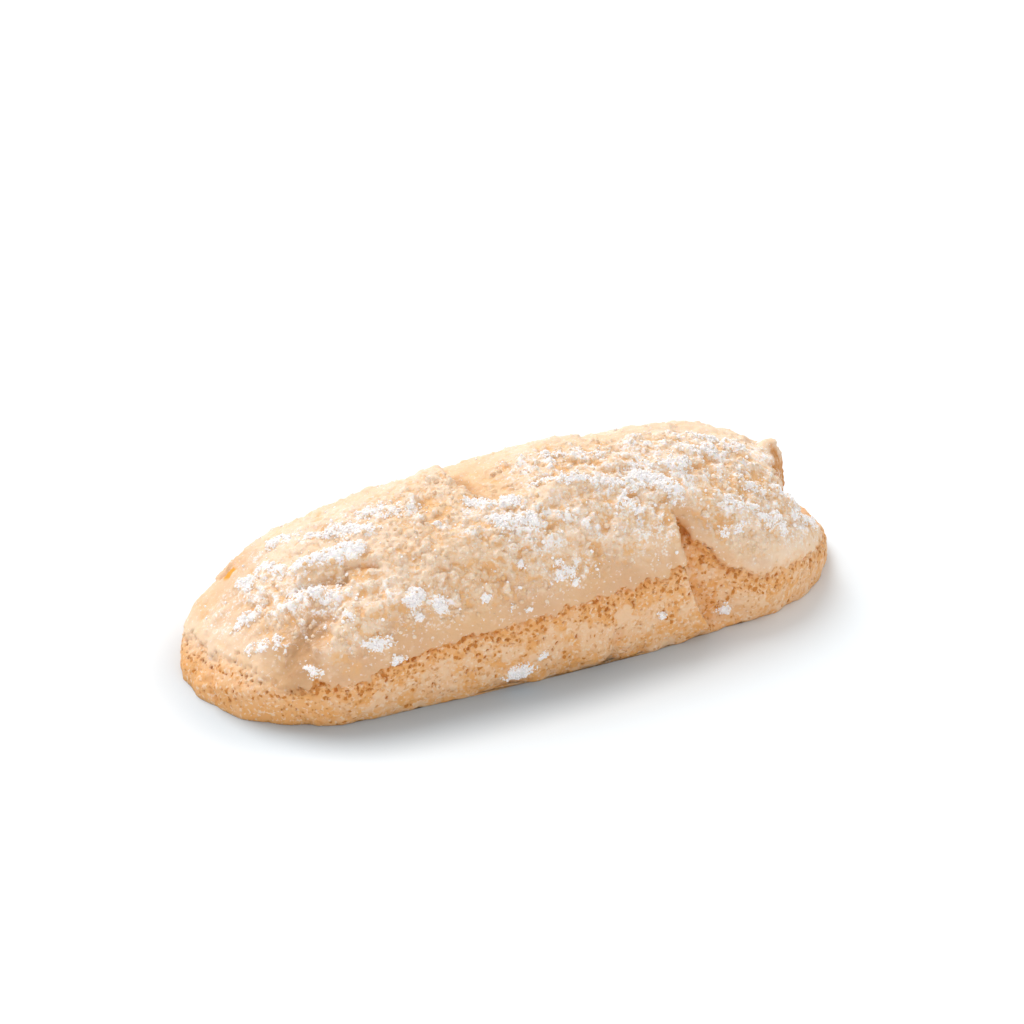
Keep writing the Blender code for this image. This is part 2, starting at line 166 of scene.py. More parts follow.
# Dips of the crown with painted shade, toasted brown in the first table and soft brown in the
# second: start (x, y), end (x, y), radius, strength
BROWN_SHADE_DIPS = (
    ((-39.5, -6.9), (-35.0, -9.2), 1.0, 0.9),     # cleft
    ((-33.3, -8.4), (-29.5, -10.6), 0.8, 0.6),    # thin end of the cleft
    ((-8.6, -5.5), (-9.2, 4.0), 2.6, 0.5),        # under the hollow's ledge
)
SOFT_SHADE_DIPS = (
    ((-42.0, -14.4), (-45.5, -16.4), 4.6, 0.75),  # trough
    ((-40.0, -7.4), (-34.0, -10.0), 2.0, 0.7),    # cleft
    ((-9.0, -5.5), (-9.4, 4.0), 2.2, 0.4),        # under the hollow's ledge
)

# Scatter: lowest place of a grain, how many places are tried for each one in a
# clump and for each loose one, and the smallest and the largest loose grain
LOWEST_GRAIN = 0.9
CLUMP_TRIES = 30
LOOSE_TRIES = 12
GRAIN_LEAST = 0.08
GRAIN_MOST = 0.36

# Grains and crumbs: spread of each corner's reach and of each axis's stretch,
# and the shares of the radius that a grain stands out and a crumb sinks in
CORNER_SPREAD = (0.78, 1.18)
STRETCH_SPREAD = (0.7, 1.3)
GRAIN_STAND = 0.3
CRUMB_SINK = 0.4

# Edges shorter than this are welded, in metres
WELD = 0.00001

# Direction of the crown's wrinkles, in plan
WRINKLE_RUN = (0.903, -0.43)

# Relief shared with the solid
SWELL = 0.5
SWELL_SIZE = 14.0
CRAG = 0.5
CRAG_SIZE = 4.2
CRUMB = 0.24
CRUMB_SIZE = 2.1

# Lights: direction of the key, place and size of the fill in metres
KEY_AIM = (0.16, -0.60, -0.78)
FILL_PLACE = (-0.15, -0.95, 0.22)
FILL_SIZE = 0.7
WHITE = (1.0, 1.0, 1.0, 1.0)

# Camera, in metres: how far left of the middle it aims, and its near limit
AIM_LEFT = 0.0005
CLIP_START = 0.01

# Light under the surface: how far red, green and blue reach, and of the crust
# and the crumbs the share of light and its depth in metres
WARM_REACH = (1.0, 0.55, 0.3)
CRUST_GLOW = (0.2, 0.0012)
CRUMB_GLOW = (0.12, 0.0008)

# Painted glow: light that the sugar gives off itself, standing in for light passed on from grain to
# grain
SUGAR_PAINTED_GLOW = 0.025

# Least and greatest roughness of the crust, the sugar and the floor
DRY = (0.62, 0.85)
GLINT = (0.5, 0.8)
DULL = (0.88, 0.92)

# Bumps: strength, and depth in metres
GRAIN_BUMP = (0.6, 0.00022)
FINE_BUMP = (0.35, 0.00006)
PORE_BUMP = (0.6, 0.0002)
CRUMB_BUMP = (0.6, 0.00016)
CRUMB_FINE_BUMP = (0.4, 0.00006)
SUGAR_BUMP = (0.2, 0.00003)

# Heights above the sole where colours change, in metres: the brown foot ends,
# the left end turns pale, and the lower band is at its middle
FOOT_TOP = 0.0012
CAP_FOOT = 0.0025
BAND_MIDDLE = 0.006

# Floor: its side and its colour, and round the biscuit a pale, cool oval painted against the warm
# light the biscuit bounces on it and a darker, cooler oval that is a painted shadow, each with its
# middle and half its size, in metres
FLOOR_SIDE = 6.0
FLOOR_WHITE = (0.92, 0.92, 0.92, 1.0)
FLOOR_BOUNCE_TINT = (0.875, 0.92, 0.95, 1.0)
BOUNCE_TINT_CENTRE = (0.014, -0.014)
BOUNCE_TINT_REACH = (0.066, 0.040)
FLOOR_SHADOW = (0.47, 0.545, 0.605, 1.0)
SHADOW_CENTRE = (-0.012, -0.003)
SHADOW_REACH = (0.060, 0.034)
OVAL_POWER = 2.5

# Patterns of the colours and of the bump, in spots a metre
CLOUDS = 95.0
CRUMB_CLOUDS = 170.0
TAN_PATCHES = 220.0
FRECKLE_PATCHES = 240.0
FOOT_PATCHES = 260.0
ORANGE_PATCHES = 300.0
LOW_PATCHES = 330.0
CRACK_BREAKS = 600.0
TOAST_BREAKS = 700.0
FLECKS = 900.0
POWDER_PATCHES = 1100.0
GRAIN = 1150.0
PORES = 1150.0
SMALL_FLECKS = 1300.0
FRECKLES = 1500.0
SPECKS = 1700.0
CRUMB_SUGAR = 1800.0
CRUMB_GRAIN = 1900.0
POWDER = 2600.0
SUGAR_SHINE = 3000.0
FINE_GRAIN = 3900.0
CRUMB_FINE_GRAIN = 4500.0
SUGAR_GRAIN = 5000.0
FLOOR_PATCHES = 9.0

# Lattice of the noise
LATTICE_SIZE = 256
LATTICE = np.random.default_rng(5)
SHUFFLE = LATTICE.permutation(LATTICE_SIZE)
SLOPES = LATTICE.normal(size=(LATTICE_SIZE, 3))
SLOPES = SLOPES / np.linalg.norm(SLOPES, axis=1)[:, None]
CENTRES = LATTICE.uniform(0.1, 0.9, (LATTICE_SIZE, 3))
DRAWS = LATTICE.uniform(size=(LATTICE_SIZE, 2))
FIELD_GAIN = 1.35

# Streaks of sugar on the crown: start (x, y), end (x, y), width, thickness
SUGAR_STREAKS = (
    ((-39.0, -3.0), (-31.0, -7.0), 2.6, 1.0),
    ((-32.0, 0.0), (-27.0, -4.5), 3.0, 0.4),
    ((-26.0, 0.0), (-21.5, -3.5), 3.0, 0.15),
    ((-35.0, 2.5), (-33.5, 1.0), 1.6, 0.5),
    ((-39.5, 8.0), (-37.0, 5.5), 2.0, 0.5),
    ((-42.5, 4.0), (-41.0, -0.5), 2.0, 0.4),
    ((-46.0, 4.5), (-44.5, 3.0), 2.2, 0.6),
    ((-41.5, -7.5), (-36.5, -12.0), 2.6, 0.2),
    ((-49.0, -2.5), (-46.5, -4.0), 2.0, 0.45),
    ((-49.5, -8.5), (-45.5, -12.0), 1.7, 0.2),
    ((-9.5, -13.0), (-4.0, -14.0), 2.4, 0.8),
    ((-12.0, -7.0), (-9.0, -9.5), 1.6, 0.5),
    ((-7.0, -9.0), (-4.5, -10.0), 2.0, 0.5),
    ((0.0, -7.5), (8.5, -10.0), 1.6, 0.6),
    ((5.0, -1.5), (13.0, -3.5), 2.4, 0.25),
    ((11.5, -10.0), (15.0, -11.5), 1.8, 0.5),
    ((17.0, -10.0), (22.0, -13.0), 3.4, 0.9),
    ((12.0, -13.5), (14.0, -15.0), 2.0, 0.5),
    ((-2.0, -19.8), (0.5, -20.2), 1.4, 0.3),
    ((21.5, -8.0), (27.0, -8.5), 1.8, 0.3),
    ((28.0, -5.5), (32.0, -6.0), 2.4, 0.3),
    ((31.5, -1.0), (38.5, -3.0), 3.0, 0.25),
    ((35.0, -12.0), (37.5, -13.0), 1.5, 0.4),
    ((30.5, -15.5), (35.0, -16.0), 1.4, 0.3),
    ((36.0, -17.0), (39.5, -17.0), 1.5, 0.3),
    ((41.0, -12.5), (43.0, -12.5), 1.8, 0.3),
    ((43.0, -14.5), (48.0, -12.5), 1.5, 0.3),
)

# Thin dustings: start (x, y), end (x, y), width, strength
DUST_STREAKS = (
    ((-27.0, 1.0), (-20.0, -4.0), 6.0, 0.4),
    ((-35.0, 2.5), (-31.0, -1.0), 4.0, 0.4),
    ((-42.0, 8.0), (-36.0, 5.0), 3.0, 0.5),
    ((-49.0, 4.0), (-42.0, -1.0), 5.0, 0.5),
    ((-44.0, -4.0), (-36.0, -12.5), 6.0, 0.7),
    ((-52.0, 5.0), (-50.0, -6.0), 3.0, 0.45),
    ((-37.0, -13.0), (-22.0, -19.0), 4.5, 0.4),
    ((-18.0, -10.5), (-14.0, -13.5), 2.2, 0.6),
    ((-12.0, -11.0), (-2.0, -15.5), 6.0, 0.65),
    ((-2.0, -12.0), (7.0, -15.5), 5.0, 0.6),
    ((2.0, -3.0), (16.0, -6.0), 8.0, 0.7),
    ((10.0, -10.0), (16.0, -17.0), 7.0, 0.6),
    ((16.0, -8.0), (28.0, -12.0), 7.0, 0.7),
    ((20.0, -3.0), (34.0, -7.0), 6.0, 0.6),
    ((28.0, -14.0), (44.0, -15.0), 7.0, 0.45),
    ((30.0, 1.0), (42.0, -3.5), 7.0, 0.6),
    ((27.0, -11.0), (36.0, -12.0), 5.0, 0.6),
    ((29.0, -15.5), (41.0, -17.0), 4.0, 0.55),
    ((37.0, -10.0), (46.0, -12.5), 5.0, 0.6),
    ((44.0, -13.5), (52.0, -10.0), 3.0, 0.7),
    ((24.0, 4.0), (30.0, 3.0), 3.0, 0.5),
    ((-4.0, -20.0), (4.0, -19.5), 2.4, 0.35),
)

# Sugar caught on the front side: x, z, length, width, thickness
SIDE_LUMPS = (
    (-10.0, 3.0, 4.4, 2.6, 0.5),
    (-6.0, 5.0, 1.5, 1.1, 0.4),
    (-43.4, 9.8, 1.9, 1.4, 0.2),
    (-34.0, 13.3, 5.2, 1.5, 0.5),
    (-25.6, 18.0, 3.0, 2.2, 0.7),
    (-22.0, 16.9, 2.6, 1.9, 0.6),
    (-30.0, 10.3, 3.0, 1.6, 0.3),
    (-14.5, 16.7, 1.8, 1.2, 0.6),
    (-7.9, 19.9, 1.0, 0.8, 0.6),
    (-10.7, 14.6, 0.9, 0.8, 0.5),
    (-8.0, 13.7, 0.8, 0.8, 0.5),
    (-25.8, 15.9, 1.2, 1.2, 0.7),
    (-36.5, 16.7, 1.5, 0.9, 0.4),
    (28.0, 17.1, 2.2, 1.0, 0.2),
    (31.0, 17.2, 2.4, 1.0, 0.2),
    (28.0, 3.4, 2.0, 1.4, 0.5),
    (15.2, 7.2, 1.6, 0.9, 0.3),
)


# ---------------------------------------------------------------- settings

def length(name, description, default, **limits):
    """Setting for a length in metres."""
    return bpy.props.FloatProperty(
        name=name, description=description, default=default, unit='LENGTH', **limits)


def colour(name, description, *default):
    """Setting for a colour."""
    return bpy.props.FloatVectorProperty(
        name=name, description=description, subtype='COLOR', size=4,
        min=0.0, max=1.0, default=(*default, 1.0))


class LadyfingerShape(bpy.types.PropertyGroup):
    """Fineness and relief of the biscuit's crust."""

    voxel: length("Mesh size", "Edge length of the crust's mesh", 0.00029, min=0.0002)
    triangles: bpy.props.IntProperty(
        name="Triangles", description="Triangles of the finished crust", default=197000)
    knob_height: length(
        "Knob height", "Height of the rounded knobs on the crown", 0.00065)
    knob_spacing: length(
        "Knob spacing", "Distance between knobs on the crown", 0.0026)
    grit_height: length("Grit height", "Height of the small grit on the crown", 0.00032)
    grit_spacing: length("Grit spacing", "Distance between bits of grit", 0.001)
    fine_height: length("Fine height", "Height of the crust's fine roughness", 0.0001)
    wrinkle_height: length(
        "Wrinkle height", "Height of the wrinkles on the right of the crown", 0.0004)
    pore_depth: length("Pore depth", "Depth of the open pores below the rim", 0.00045)
    pore_spacing: length("Pore spacing", "Distance between pores below the rim", 0.00092)
    sugar_rise: length("Sugar rise", "Height of a full clump of sugar", 0.00065)


class LadyfingerSugar(bpy.types.PropertyGroup):
    """Amounts of sugar and crumbs."""

    seed: bpy.props.IntProperty(
        name="Seed", description="Seed of the scatter", default=7)
    clump_grains: bpy.props.IntProperty(
        name="Clump grains", description="Grains stacked in the clumps", default=8000)
    clump_radius: length(
        "Clump grain radius", "Middle radius of a clump's grain", 0.00016)
    loose_grains: bpy.props.IntProperty(
        name="Loose grains", description="Single grains on the crust", default=3200)
    crumbs: bpy.props.IntProperty(
        name="Crumbs", description="Baked crumbs stuck on the crown", default=1500)
    crumb_radius: length("Crumb radius", "Radius of the largest crumbs", 0.0005)


class LadyfingerColours(bpy.types.PropertyGroup):
    """Colours of the crust, the crumb and the sugar, and of the painted shade and glow."""

    crust_pale: colour("Pale crust", "Raised crust", 0.88, 0.675, 0.495)
    crust_tan: colour("Tan crust", "Crust above the rim", 0.71, 0.43, 0.24)
    # Painted shade: the colour laid into the low places of the crust's relief
    crevice_shade: colour("Crevices", "Crust in the dips", 0.82, 0.46, 0.19)
    golden: colour(
        "Golden crust", "Inside the hollow and on the left end", 0.80, 0.51, 0.265)
    crumb_orange: colour("Open crumb", "Porous crumb below the rim", 0.80, 0.39, 0.125)
    skin: colour("Skin", "Smooth skin on the crumb", 0.84, 0.56, 0.345)
    pore: colour("Pores", "Inside of the pores", 0.56, 0.19, 0.02)
    toasted: colour("Toasted crumb", "Torn and folded places", 0.62, 0.25, 0.05)
    # Painted shade: soft brown laid into the deep dips of the crown
    dip_shade: colour("Soft brown", "Deep dips of the crown", 0.47, 0.25, 0.11)
    # Painted light: orange glow as of light shining through thin spots of the crust
    amber: colour("Amber", "Thin glowing spots in small holes", 0.78, 0.32, 0.008)
    sugar: colour("Sugar", "Sugar", 0.96, 0.925, 0.915)
    sugar_shade: colour("Shaded sugar", "Duller grains of sugar", 0.93, 0.90, 0.87)


class LadyfingerStage(bpy.types.PropertyGroup):
    """Camera, floor and lights."""

    azimuth: bpy.props.FloatProperty(
        name="Azimuth", description="Camera's turn round the biscuit",
        default=math.radians(-25.45), subtype='ANGLE')
    elevation: bpy.props.FloatProperty(
        name="Elevation", description="Camera's height above the horizon",
        default=math.radians(31.0), subtype='ANGLE')
    distance: length("Distance", "Camera's distance", 0.65)
    lens: bpy.props.FloatProperty(
        name="Lens", description="Focal length in millimetres", default=139.37)
    raise_view: length(
        "Raise view", "Height of the picture's middle above the biscuit", 0.0158)
    key_strength: bpy.props.FloatProperty(
        name="Key light", description="Strength of the light from the back left",
        default=2.3)
    key_softness: bpy.props.FloatProperty(
        name="Key softness", description="Angle that the key light fills",
        default=math.radians(45.0), subtype='ANGLE')
    fill_power: bpy.props.FloatProperty(
        name="Fill light", description="Power in watts of the low light in front",
        default=2.1)
    sky: bpy.props.FloatProperty(
        name="Sky", description="Strength of the white surroundings", default=0.63)


# ------------------------------------------------------------------- forms

def ease(value):
    """Smooth step from 0 to 1."""
    t = np.clip(value, 0.0, 1.0)
    return t * t * (3.0 - 2.0 * t)


def past(value, start, reach):
    """0 up to the start, then smoothly up to 1 over the reach."""
    return ease((value - start) / reach)


def short_of(value, end, reach):
    """1 up to a reach before the end, then smoothly down to 0 at it."""
    return ease((end - value) / reach)


def peak(value, middle, width):
    """1 at the middle, fading smoothly to both sides over the width."""
    return np.exp(-((value - middle) / width) ** 2)


def section(x):
    """Half width, height and end rounding of the loaf at x."""
    u = 2.0 * x / LENGTH
    left = LEFT_DROP * np.abs(u) ** LEFT_POWER
    right = RIGHT_DROP * np.abs(u) ** RIGHT_POWER
    height = CROWN - np.where(u < 0.0, left, right)
    from_left = np.clip((x + LENGTH / 2.0) / LEFT_ROUND, 0.0, 1.0)
    from_right = np.clip((LENGTH / 2.0 - x) / RIGHT_ROUND, 0.0, 1.0)
    round_left = np.sqrt(1.0 - (1.0 - from_left) ** 2)
    round_right = np.sqrt(1.0 - (1.0 - from_right) ** 2)
    rounding = round_left * round_right
    return HALF_WIDTH * rounding, height * rounding ** END_POWER, rounding


def bend(x):
    """Sideways bow of the loaf's centre line."""
    return BEND * (1.0 - (2.0 * x / LENGTH) ** 2)


def capsule(x, y, start, end, radius):
    """Falloff, 1 on the segment from start to end and 0 at the radius."""
    dx = end[0] - start[0]
    dy = end[1] - start[1]
    along = ((x - start[0]) * dx + (y - start[1]) * dy) / (dx * dx + dy * dy)
    along = np.clip(along, 0.0, 1.0)
    gap = np.hypot(x - start[0] - along * dx, y - start[1] - along * dy)
    return ease(1.0 - gap / radius)


def fold_edge(z):
    """X of the fold's edge at height z on the front side."""
    return FOLD_TOP_X + FOLD_CURVE * (FOLD_TOP_Z - z) ** 2


def fold_gap(x, z):
    """How far a place of the front side lies to the right of the fold's edge."""
    return x - fold_edge(np.clip(z, 0.0, FOLD_REACH_Z))


def lobe_rim(x):
    """Height of the crust's lower edge on the lobe right of the fold."""
    return np.interp(x, LOBE_RIM_X, LOBE_RIM_Z)


def rim_height(x, y):
    """Height of the crust's lower edge."""
    front = np.interp(x, RIM_FRONT_X, RIM_FRONT_Z)
    front = np.where(x > FOLD_TOP_X + 1.0, lobe_rim(x), front)
    rear = RIM_BACK_Z + 1.2 * np.sin(x * 0.11 + 0.6) + 0.4 * np.sin(x * 0.73)
    side = past(y, -6.0, 10.0)
    left = np.interp(y, LEFT_RIM_Y, LEFT_RIM_Z)
    end = short_of(x, -47.0, 5.0)
    return (front * (1.0 - side) + rear * side) * (1.0 - end) + left * end


def front_side(y):
    """1 on the front side of the loaf, 0 from its middle backwards."""
    return short_of(y, -13.5, 4.0)


def hollow(x, y):
    """Depth of the hollow in the crown, steep on its left."""
    bow = np.where(y < LEDGE_MIDDLE, BOW_FRONT, BOW_BACK) * (y - LEDGE_MIDDLE) ** 2
    ledge = past(x - bow, HOLLOW_LEDGE - LEDGE_WIDTH / 2.0, LEDGE_WIDTH)
    ramp = 1.0 - past(x, -6.5, 11.0)
    front = past(y, HOLLOW_FRONT, 3.6)
    rear = 1.0 - 0.65 * past(y, 4.0, 9.0)
    return HOLLOW_DEPTH * ledge * ramp * front * rear


def in_hollow(x, y, z):
    """1 deep in the hollow, 0 outside it."""
    return hollow(x, y) * (z > WAIST) / HOLLOW_DEPTH


def crown_forms(x, y):
    """Height added to the crown by the named forms seen from above."""
    rise = -hollow(x, y)
    for start, end, radius, height in CROWN_FORMS:
        rise = rise + height * capsule(x, y, start, end, radius)
    step = short_of(x, BACK_STEP_X, 1.2) * past(x, -36.0, 5.0) * past(y, 6.0, 4.0)
    return rise - BACK_STEP * step


def cliff_line(y):
    """X of the torn end's cliff at y."""
    return CLIFF_X + CLIFF_SLOPE * y + 0.35 * np.sin(y * 1.3)


def tear(x, y, z):
    """Height left after the torn end is broken away behind its cliff."""
    line = cliff_line(y)
    horn = HORN_RISE * ease(1.0 - np.hypot(x - line + 1.8, (y - 0.5) * 0.6) / HORN_REACH)
    bevel = past(x, line - BEVEL_REACH, BEVEL_REACH) * past(y, -9.5, 2.0) * short_of(y, -0.6, 1.4)
    twin = TWIN_RISE * capsule(x, y, (43.4, 3.2), (44.2, 3.4), 1.5)
    raised = z + np.where(z > WAIST, horn - BEVEL_DROP * bevel + twin, 0.0)
    terrace = TERRACE_Z - TERRACE_FALL * (x - TERRACE_X) - TERRACE_TILT * (y + 4.0)
    terrace = terrace + 0.3 * np.sin(x * 1.1 + y * 0.9)
    terrace = np.maximum(terrace, WAIST * 0.6)
    drop = np.maximum(raised - terrace, 0.0)
    behind = past(x, line - 0.35, 0.7) * past(y, -12.5, 3.0)
    return raised - drop * behind


def side_push(x, y, z):
    """Outward push of the front side: fold, lobe, wedge and creases."""
    gap = fold_gap(x, z)
    lift = ease(z / 3.0) * (1.0 - past(z, 19.5, 4.0))
    proud = FOLD_PROUD * np.exp(-np.abs(gap) / 3.4) * (gap <= 0.0)
    recess = FOLD_RECESS * past(gap, -0.3, 0.9) * (1.0 - ease(gap / 11.0))
    wedge = short_of(z, lobe_rim(x), 1.2) * past(gap, -0.2, 0.8) * (1.0 - past(x, 27.0, 9.0))
    push = (proud - recess - WEDGE_RECESS * wedge) * lift
    crease = peak(x - 0.25 * (z - 4.0), 7.2, 0.8)
    push = push - CREASE_DEPTH * crease * (1.0 - past(z, 5.0, 2.5))
    lip = short_of(x, 7.0, 0.8) * past(x, -2.0, 6.0) * (1.0 - past(z, 5.0, 3.0))
    push = push + CREASE_LIP * lip
    for middle, width, depth in FOOT_PINCHES:
        push = push - depth * peak(x, middle, width) * (1.0 - past(z, -0.4, 3.4))
    return push * front_side(y)


def press_forms(x, y, z):
    """Apply the named forms to arrays of loft points."""
    z = z + crown_forms(x, y) * past(z, WAIST, 3.0)
    z = np.where(z > 1.0, tear(x, y, z), z)
    y = y - side_push(x, y, z)
    crease = peak(x, -54.0, 2.5) * peak(y - 0.9 * (z - 4.0), -4.4, 0.9) * ease(z / 1.5)
    x = x + 0.6 * crease * (z < 7.0)
    x = x - SHOULDER_PULL * past(x, 50.0, 5.0) * past(z, 2.5, 4.0)
    x = x - LEFT_STRETCH * short_of(x, CAP_X, 9.0)
    return x, y, z


def wrap(u, v):
    """Loaf points of grid places: u runs along, v round from edge to edge."""
    crowded = END_CROWDING * np.sin(u * math.pi / 2.0) + (1.0 - END_CROWDING) * u
    x = crowded * (LENGTH / 2.0 - END_GAP)
    half, height, rounding = section(x)
    waist = WAIST * np.sqrt(rounding)
    power = 2.0 / SQUARENESS
    angle = (1.0 - np.clip(v / DOME_SHARE, -1.0, 1.0)) * math.pi / 2.0
    c = np.cos(angle)
    y_dome = half * np.sign(c) * np.abs(c) ** power
    z_dome = waist + (height - waist) * np.abs(np.sin(angle)) ** power
    down = np.clip((np.abs(v) - DOME_SHARE) / (SIDE_SHARE - DOME_SHARE), 0.0, 1.0)
    under = np.clip((np.abs(v) - SIDE_SHARE) / (1.0 - SIDE_SHARE), 0.0, 1.0)
    tuck = SOLE_INSET * rounding * (1.0 - np.sqrt(1.0 - down ** 2))
    y_side = np.sign(v) * (half - tuck)
    z_side = waist * (1.0 - down) - SKIRT * under
    dome = np.abs(v) <= DOME_SHARE
    y = np.where(dome, y_dome, y_side) + bend(x)
    z = np.where(dome, z_dome, z_side)
    return press_forms(x, y, z)


# ------------------------------------------------------------ mesh helpers

def deselect():
    """Leave object mode clean, with nothing selected."""
    if bpy.context.object and bpy.context.object.mode != 'OBJECT':
        bpy.ops.object.mode_set(mode='OBJECT')
    bpy.ops.object.select_all(action='DESELECT')


def activate(piece):
    """Make one object the only selected and active one."""
    deselect()
    piece.select_set(True)
    bpy.context.view_layer.objects.active = piece


def apply_modifier(piece, kind, **settings):
    """Add a modifier with its settings and apply it."""
    step = piece.modifiers.new(kind.title(), kind)
    for key, value in settings.items():
        setattr(step, key, value)
    activate(piece)
    bpy.ops.object.modifier_apply(modifier=step.name)


def read_points(mesh):
    """Vertex places of a mesh in millimetres."""
    flat = np.empty(len(mesh.vertices) * 3)
    mesh.vertices.foreach_get("co", flat)
    return flat.reshape(-1, 3) / MM


def write_points(mesh, points):
    """Set the vertex places of a mesh from millimetres."""
    mesh.vertices.foreach_set("co", (points * MM).ravel())
    mesh.update()


def read_normals(mesh):
    """Vertex normals of a mesh."""
    flat = np.empty(len(mesh.vertices) * 3)
    mesh.vertex_normals.foreach_get("vector", flat)
    return flat.reshape(-1, 3)


def write_mask(mesh, name, values):
    """Store one number a vertex, for the material to read."""
    layer = mesh.attributes.new(name, 'FLOAT', 'POINT')
    layer.data.foreach_set("value", np.asarray(values, dtype=np.float32))


def shared_field(points, size, seed):
    """Signed noise of the relief that the solid has too."""
    shift = Vector((seed, seed * 0.7, -seed))
    return np.array([noise.noise(Vector(p) / size + shift) for p in points])


def lattice(corner, seed):
    """Repeatable number below LATTICE_SIZE for each whole-number grid corner."""
    last = LATTICE_SIZE - 1
    i, j, k = (corner & last).T
    return SHUFFLE[(SHUFFLE[(SHUFFLE[(i + seed) & last] + j) & last] + k) & last]


def field(points, size, seed):
    """Signed noise at each point, with features of the given size."""
    place = points / size
    floor = np.floor(place)
    part = place - floor
    fade = part ** 3 * (part * (part * 6.0 - 15.0) + 10.0)
    total = np.zeros(len(points))
    for step in np.ndindex(2, 2, 2):
        slope = SLOPES[lattice(floor.astype(np.int64) + step, seed)]
        weight = np.where(step, fade, 1.0 - fade).prod(axis=1)
        total += ((part - step) * slope).sum(axis=1) * weight
    return total * FIELD_GAIN


def cells(points, size, seed):
    """Distance to the nearest cell centre, and two draws for its cell."""
    place = points / size
    base = np.floor(place).astype(np.int64)
    near = np.full(len(points), np.inf)
    owner = np.zeros(len(points), dtype=np.int64)
    for step in np.ndindex(3, 3, 3):
        corner = base + step - 1
        tag = lattice(corner, seed)
        span = np.linalg.norm(corner + CENTRES[tag] - place, axis=1)
        owner = np.where(span < near, tag, owner)
        near = np.minimum(near, span)
    return near * size, DRAWS[owner, 0], DRAWS[owner, 1]


def warp(points, size, reach, seed):
    """Points shifted by noise, to make outlines ragged."""
    shift = [field(points, size, seed + k) for k in range(3)]
    return points + reach * np.stack(shift, 1)


def dots(points, spacing, sway, sizes, share, seed):
    """Rounded dots, at most one a cell, where the cell's draw is below the share.

    sway holds the size and reach of the noise that makes them ragged, and sizes
    the least radius, what the largest dot adds to it, and the width of the edge.
    """
    near, draw, size = cells(warp(points, *sway, seed), spacing, seed + 1)
    least, more, edge = sizes
    return ease((least + more * size - near) / edge) * (draw < share)


# ------------------------------------------------------------ sugar fields

def sugar_cover(x, y):
    """How much the sugar streaks cover a place on the crown, 0 to 1."""
    cover = np.zeros_like(x)
    for start, end, width, thick in SUGAR_STREAKS:
        streak = capsule(x, y, start, end, width * 0.78)
        cover = np.maximum(cover, streak * (0.35 + 0.65 * thick))
    return cover


def dust_cover(x, y):
    """How much thin dusting lies on a place on the crown, 0 to 1."""
    cover = np.zeros_like(x)
    for start, end, width, strength in DUST_STREAKS:
        cover = np.maximum(cover, strength * capsule(x, y, start, end, width * 0.9))
    return cover


def side_cover(x, y, z):
    """Cover of the sugar caught on the front side."""
    cover = np.zeros_like(x)
    for x0, z0, long, wide, thick in SIDE_LUMPS:
        gap = np.hypot((x - x0) / (long * 0.6), (z - z0) / (wide * 0.6))
        cover = np.maximum(cover, ease(1.35 - gap) * (0.4 + 0.6 * thick))
    return cover * front_side(y)


def clump_cover(points):
    """Cover of all the clumps, with ragged outlines."""
    x, y = warp(points, 1.5, 0.8, 131)[:, :2].T
    crown = sugar_cover(x, y) * (points[:, 2] > rim_height(points[:, 0], points[:, 1]) + 1.0)
    cover = np.maximum(crown, side_cover(*warp(points, 1.1, 0.5, 141).T))
    torn = 0.75 * field(points, 1.7, 151) + 0.75 * field(points, 0.75, 152)
    torn = torn * (1.15 - cover) * (cover > 0.02)
    return np.clip(1.25 * cover + torn - 0.26, 0.0, 1.0)


# ------------------------------------------------------------- the biscuit

def grainy_zone(points, rim):
    """How lumpy the crust is: full on the crown, smooth near the rim and ends."""
    x, y, z = points.T
    start = 1.4 - 0.8 * past(x, LOBE_X, 4.0)
    zone = past(z, rim + start, 5.0) * past(x, -57.0, 12.0)
    lobe = past(x, LOBE_X, 5.0) * short_of(y, -11.5, 4.0)
    back = past(y, -1.0, 7.0)
    horn = past(x, 36.0, 5.0) * past(y, -8.0, 4.0)
    zone = zone * (1.0 - 0.1 * lobe) * (1.0 - 0.75 * back) * (1.0 - 0.6 * horn)
    zone = np.clip(zone * (0.95 + 0.9 * field(points, 6.0, 7)), 0.0, 1.0)
    return zone * (1.0 - 0.6 * in_hollow(x, y, z)) * (1.0 - 0.3 * short_of(x, -24.0, 10.0))


def wrinkles(points, normals):
    """Long wrinkles on the right of the crown, 0.55 on their backs."""
    x, y, z = points.T
    along = x * WRINKLE_RUN[0] + y * WRINKLE_RUN[1]
    across = x * WRINKLE_RUN[1] - y * WRINKLE_RUN[0]
    grooves = field(np.stack([along / 5.5, across, z * 0.5], 1), 1.7, 41)
    folded = past(x, 4.0, 8.0) * past(y, -14.0, 5.0) * past(normals[:, 2], 0.4, 0.3)
    return folded * (0.55 - 2.0 * np.abs(grooves))


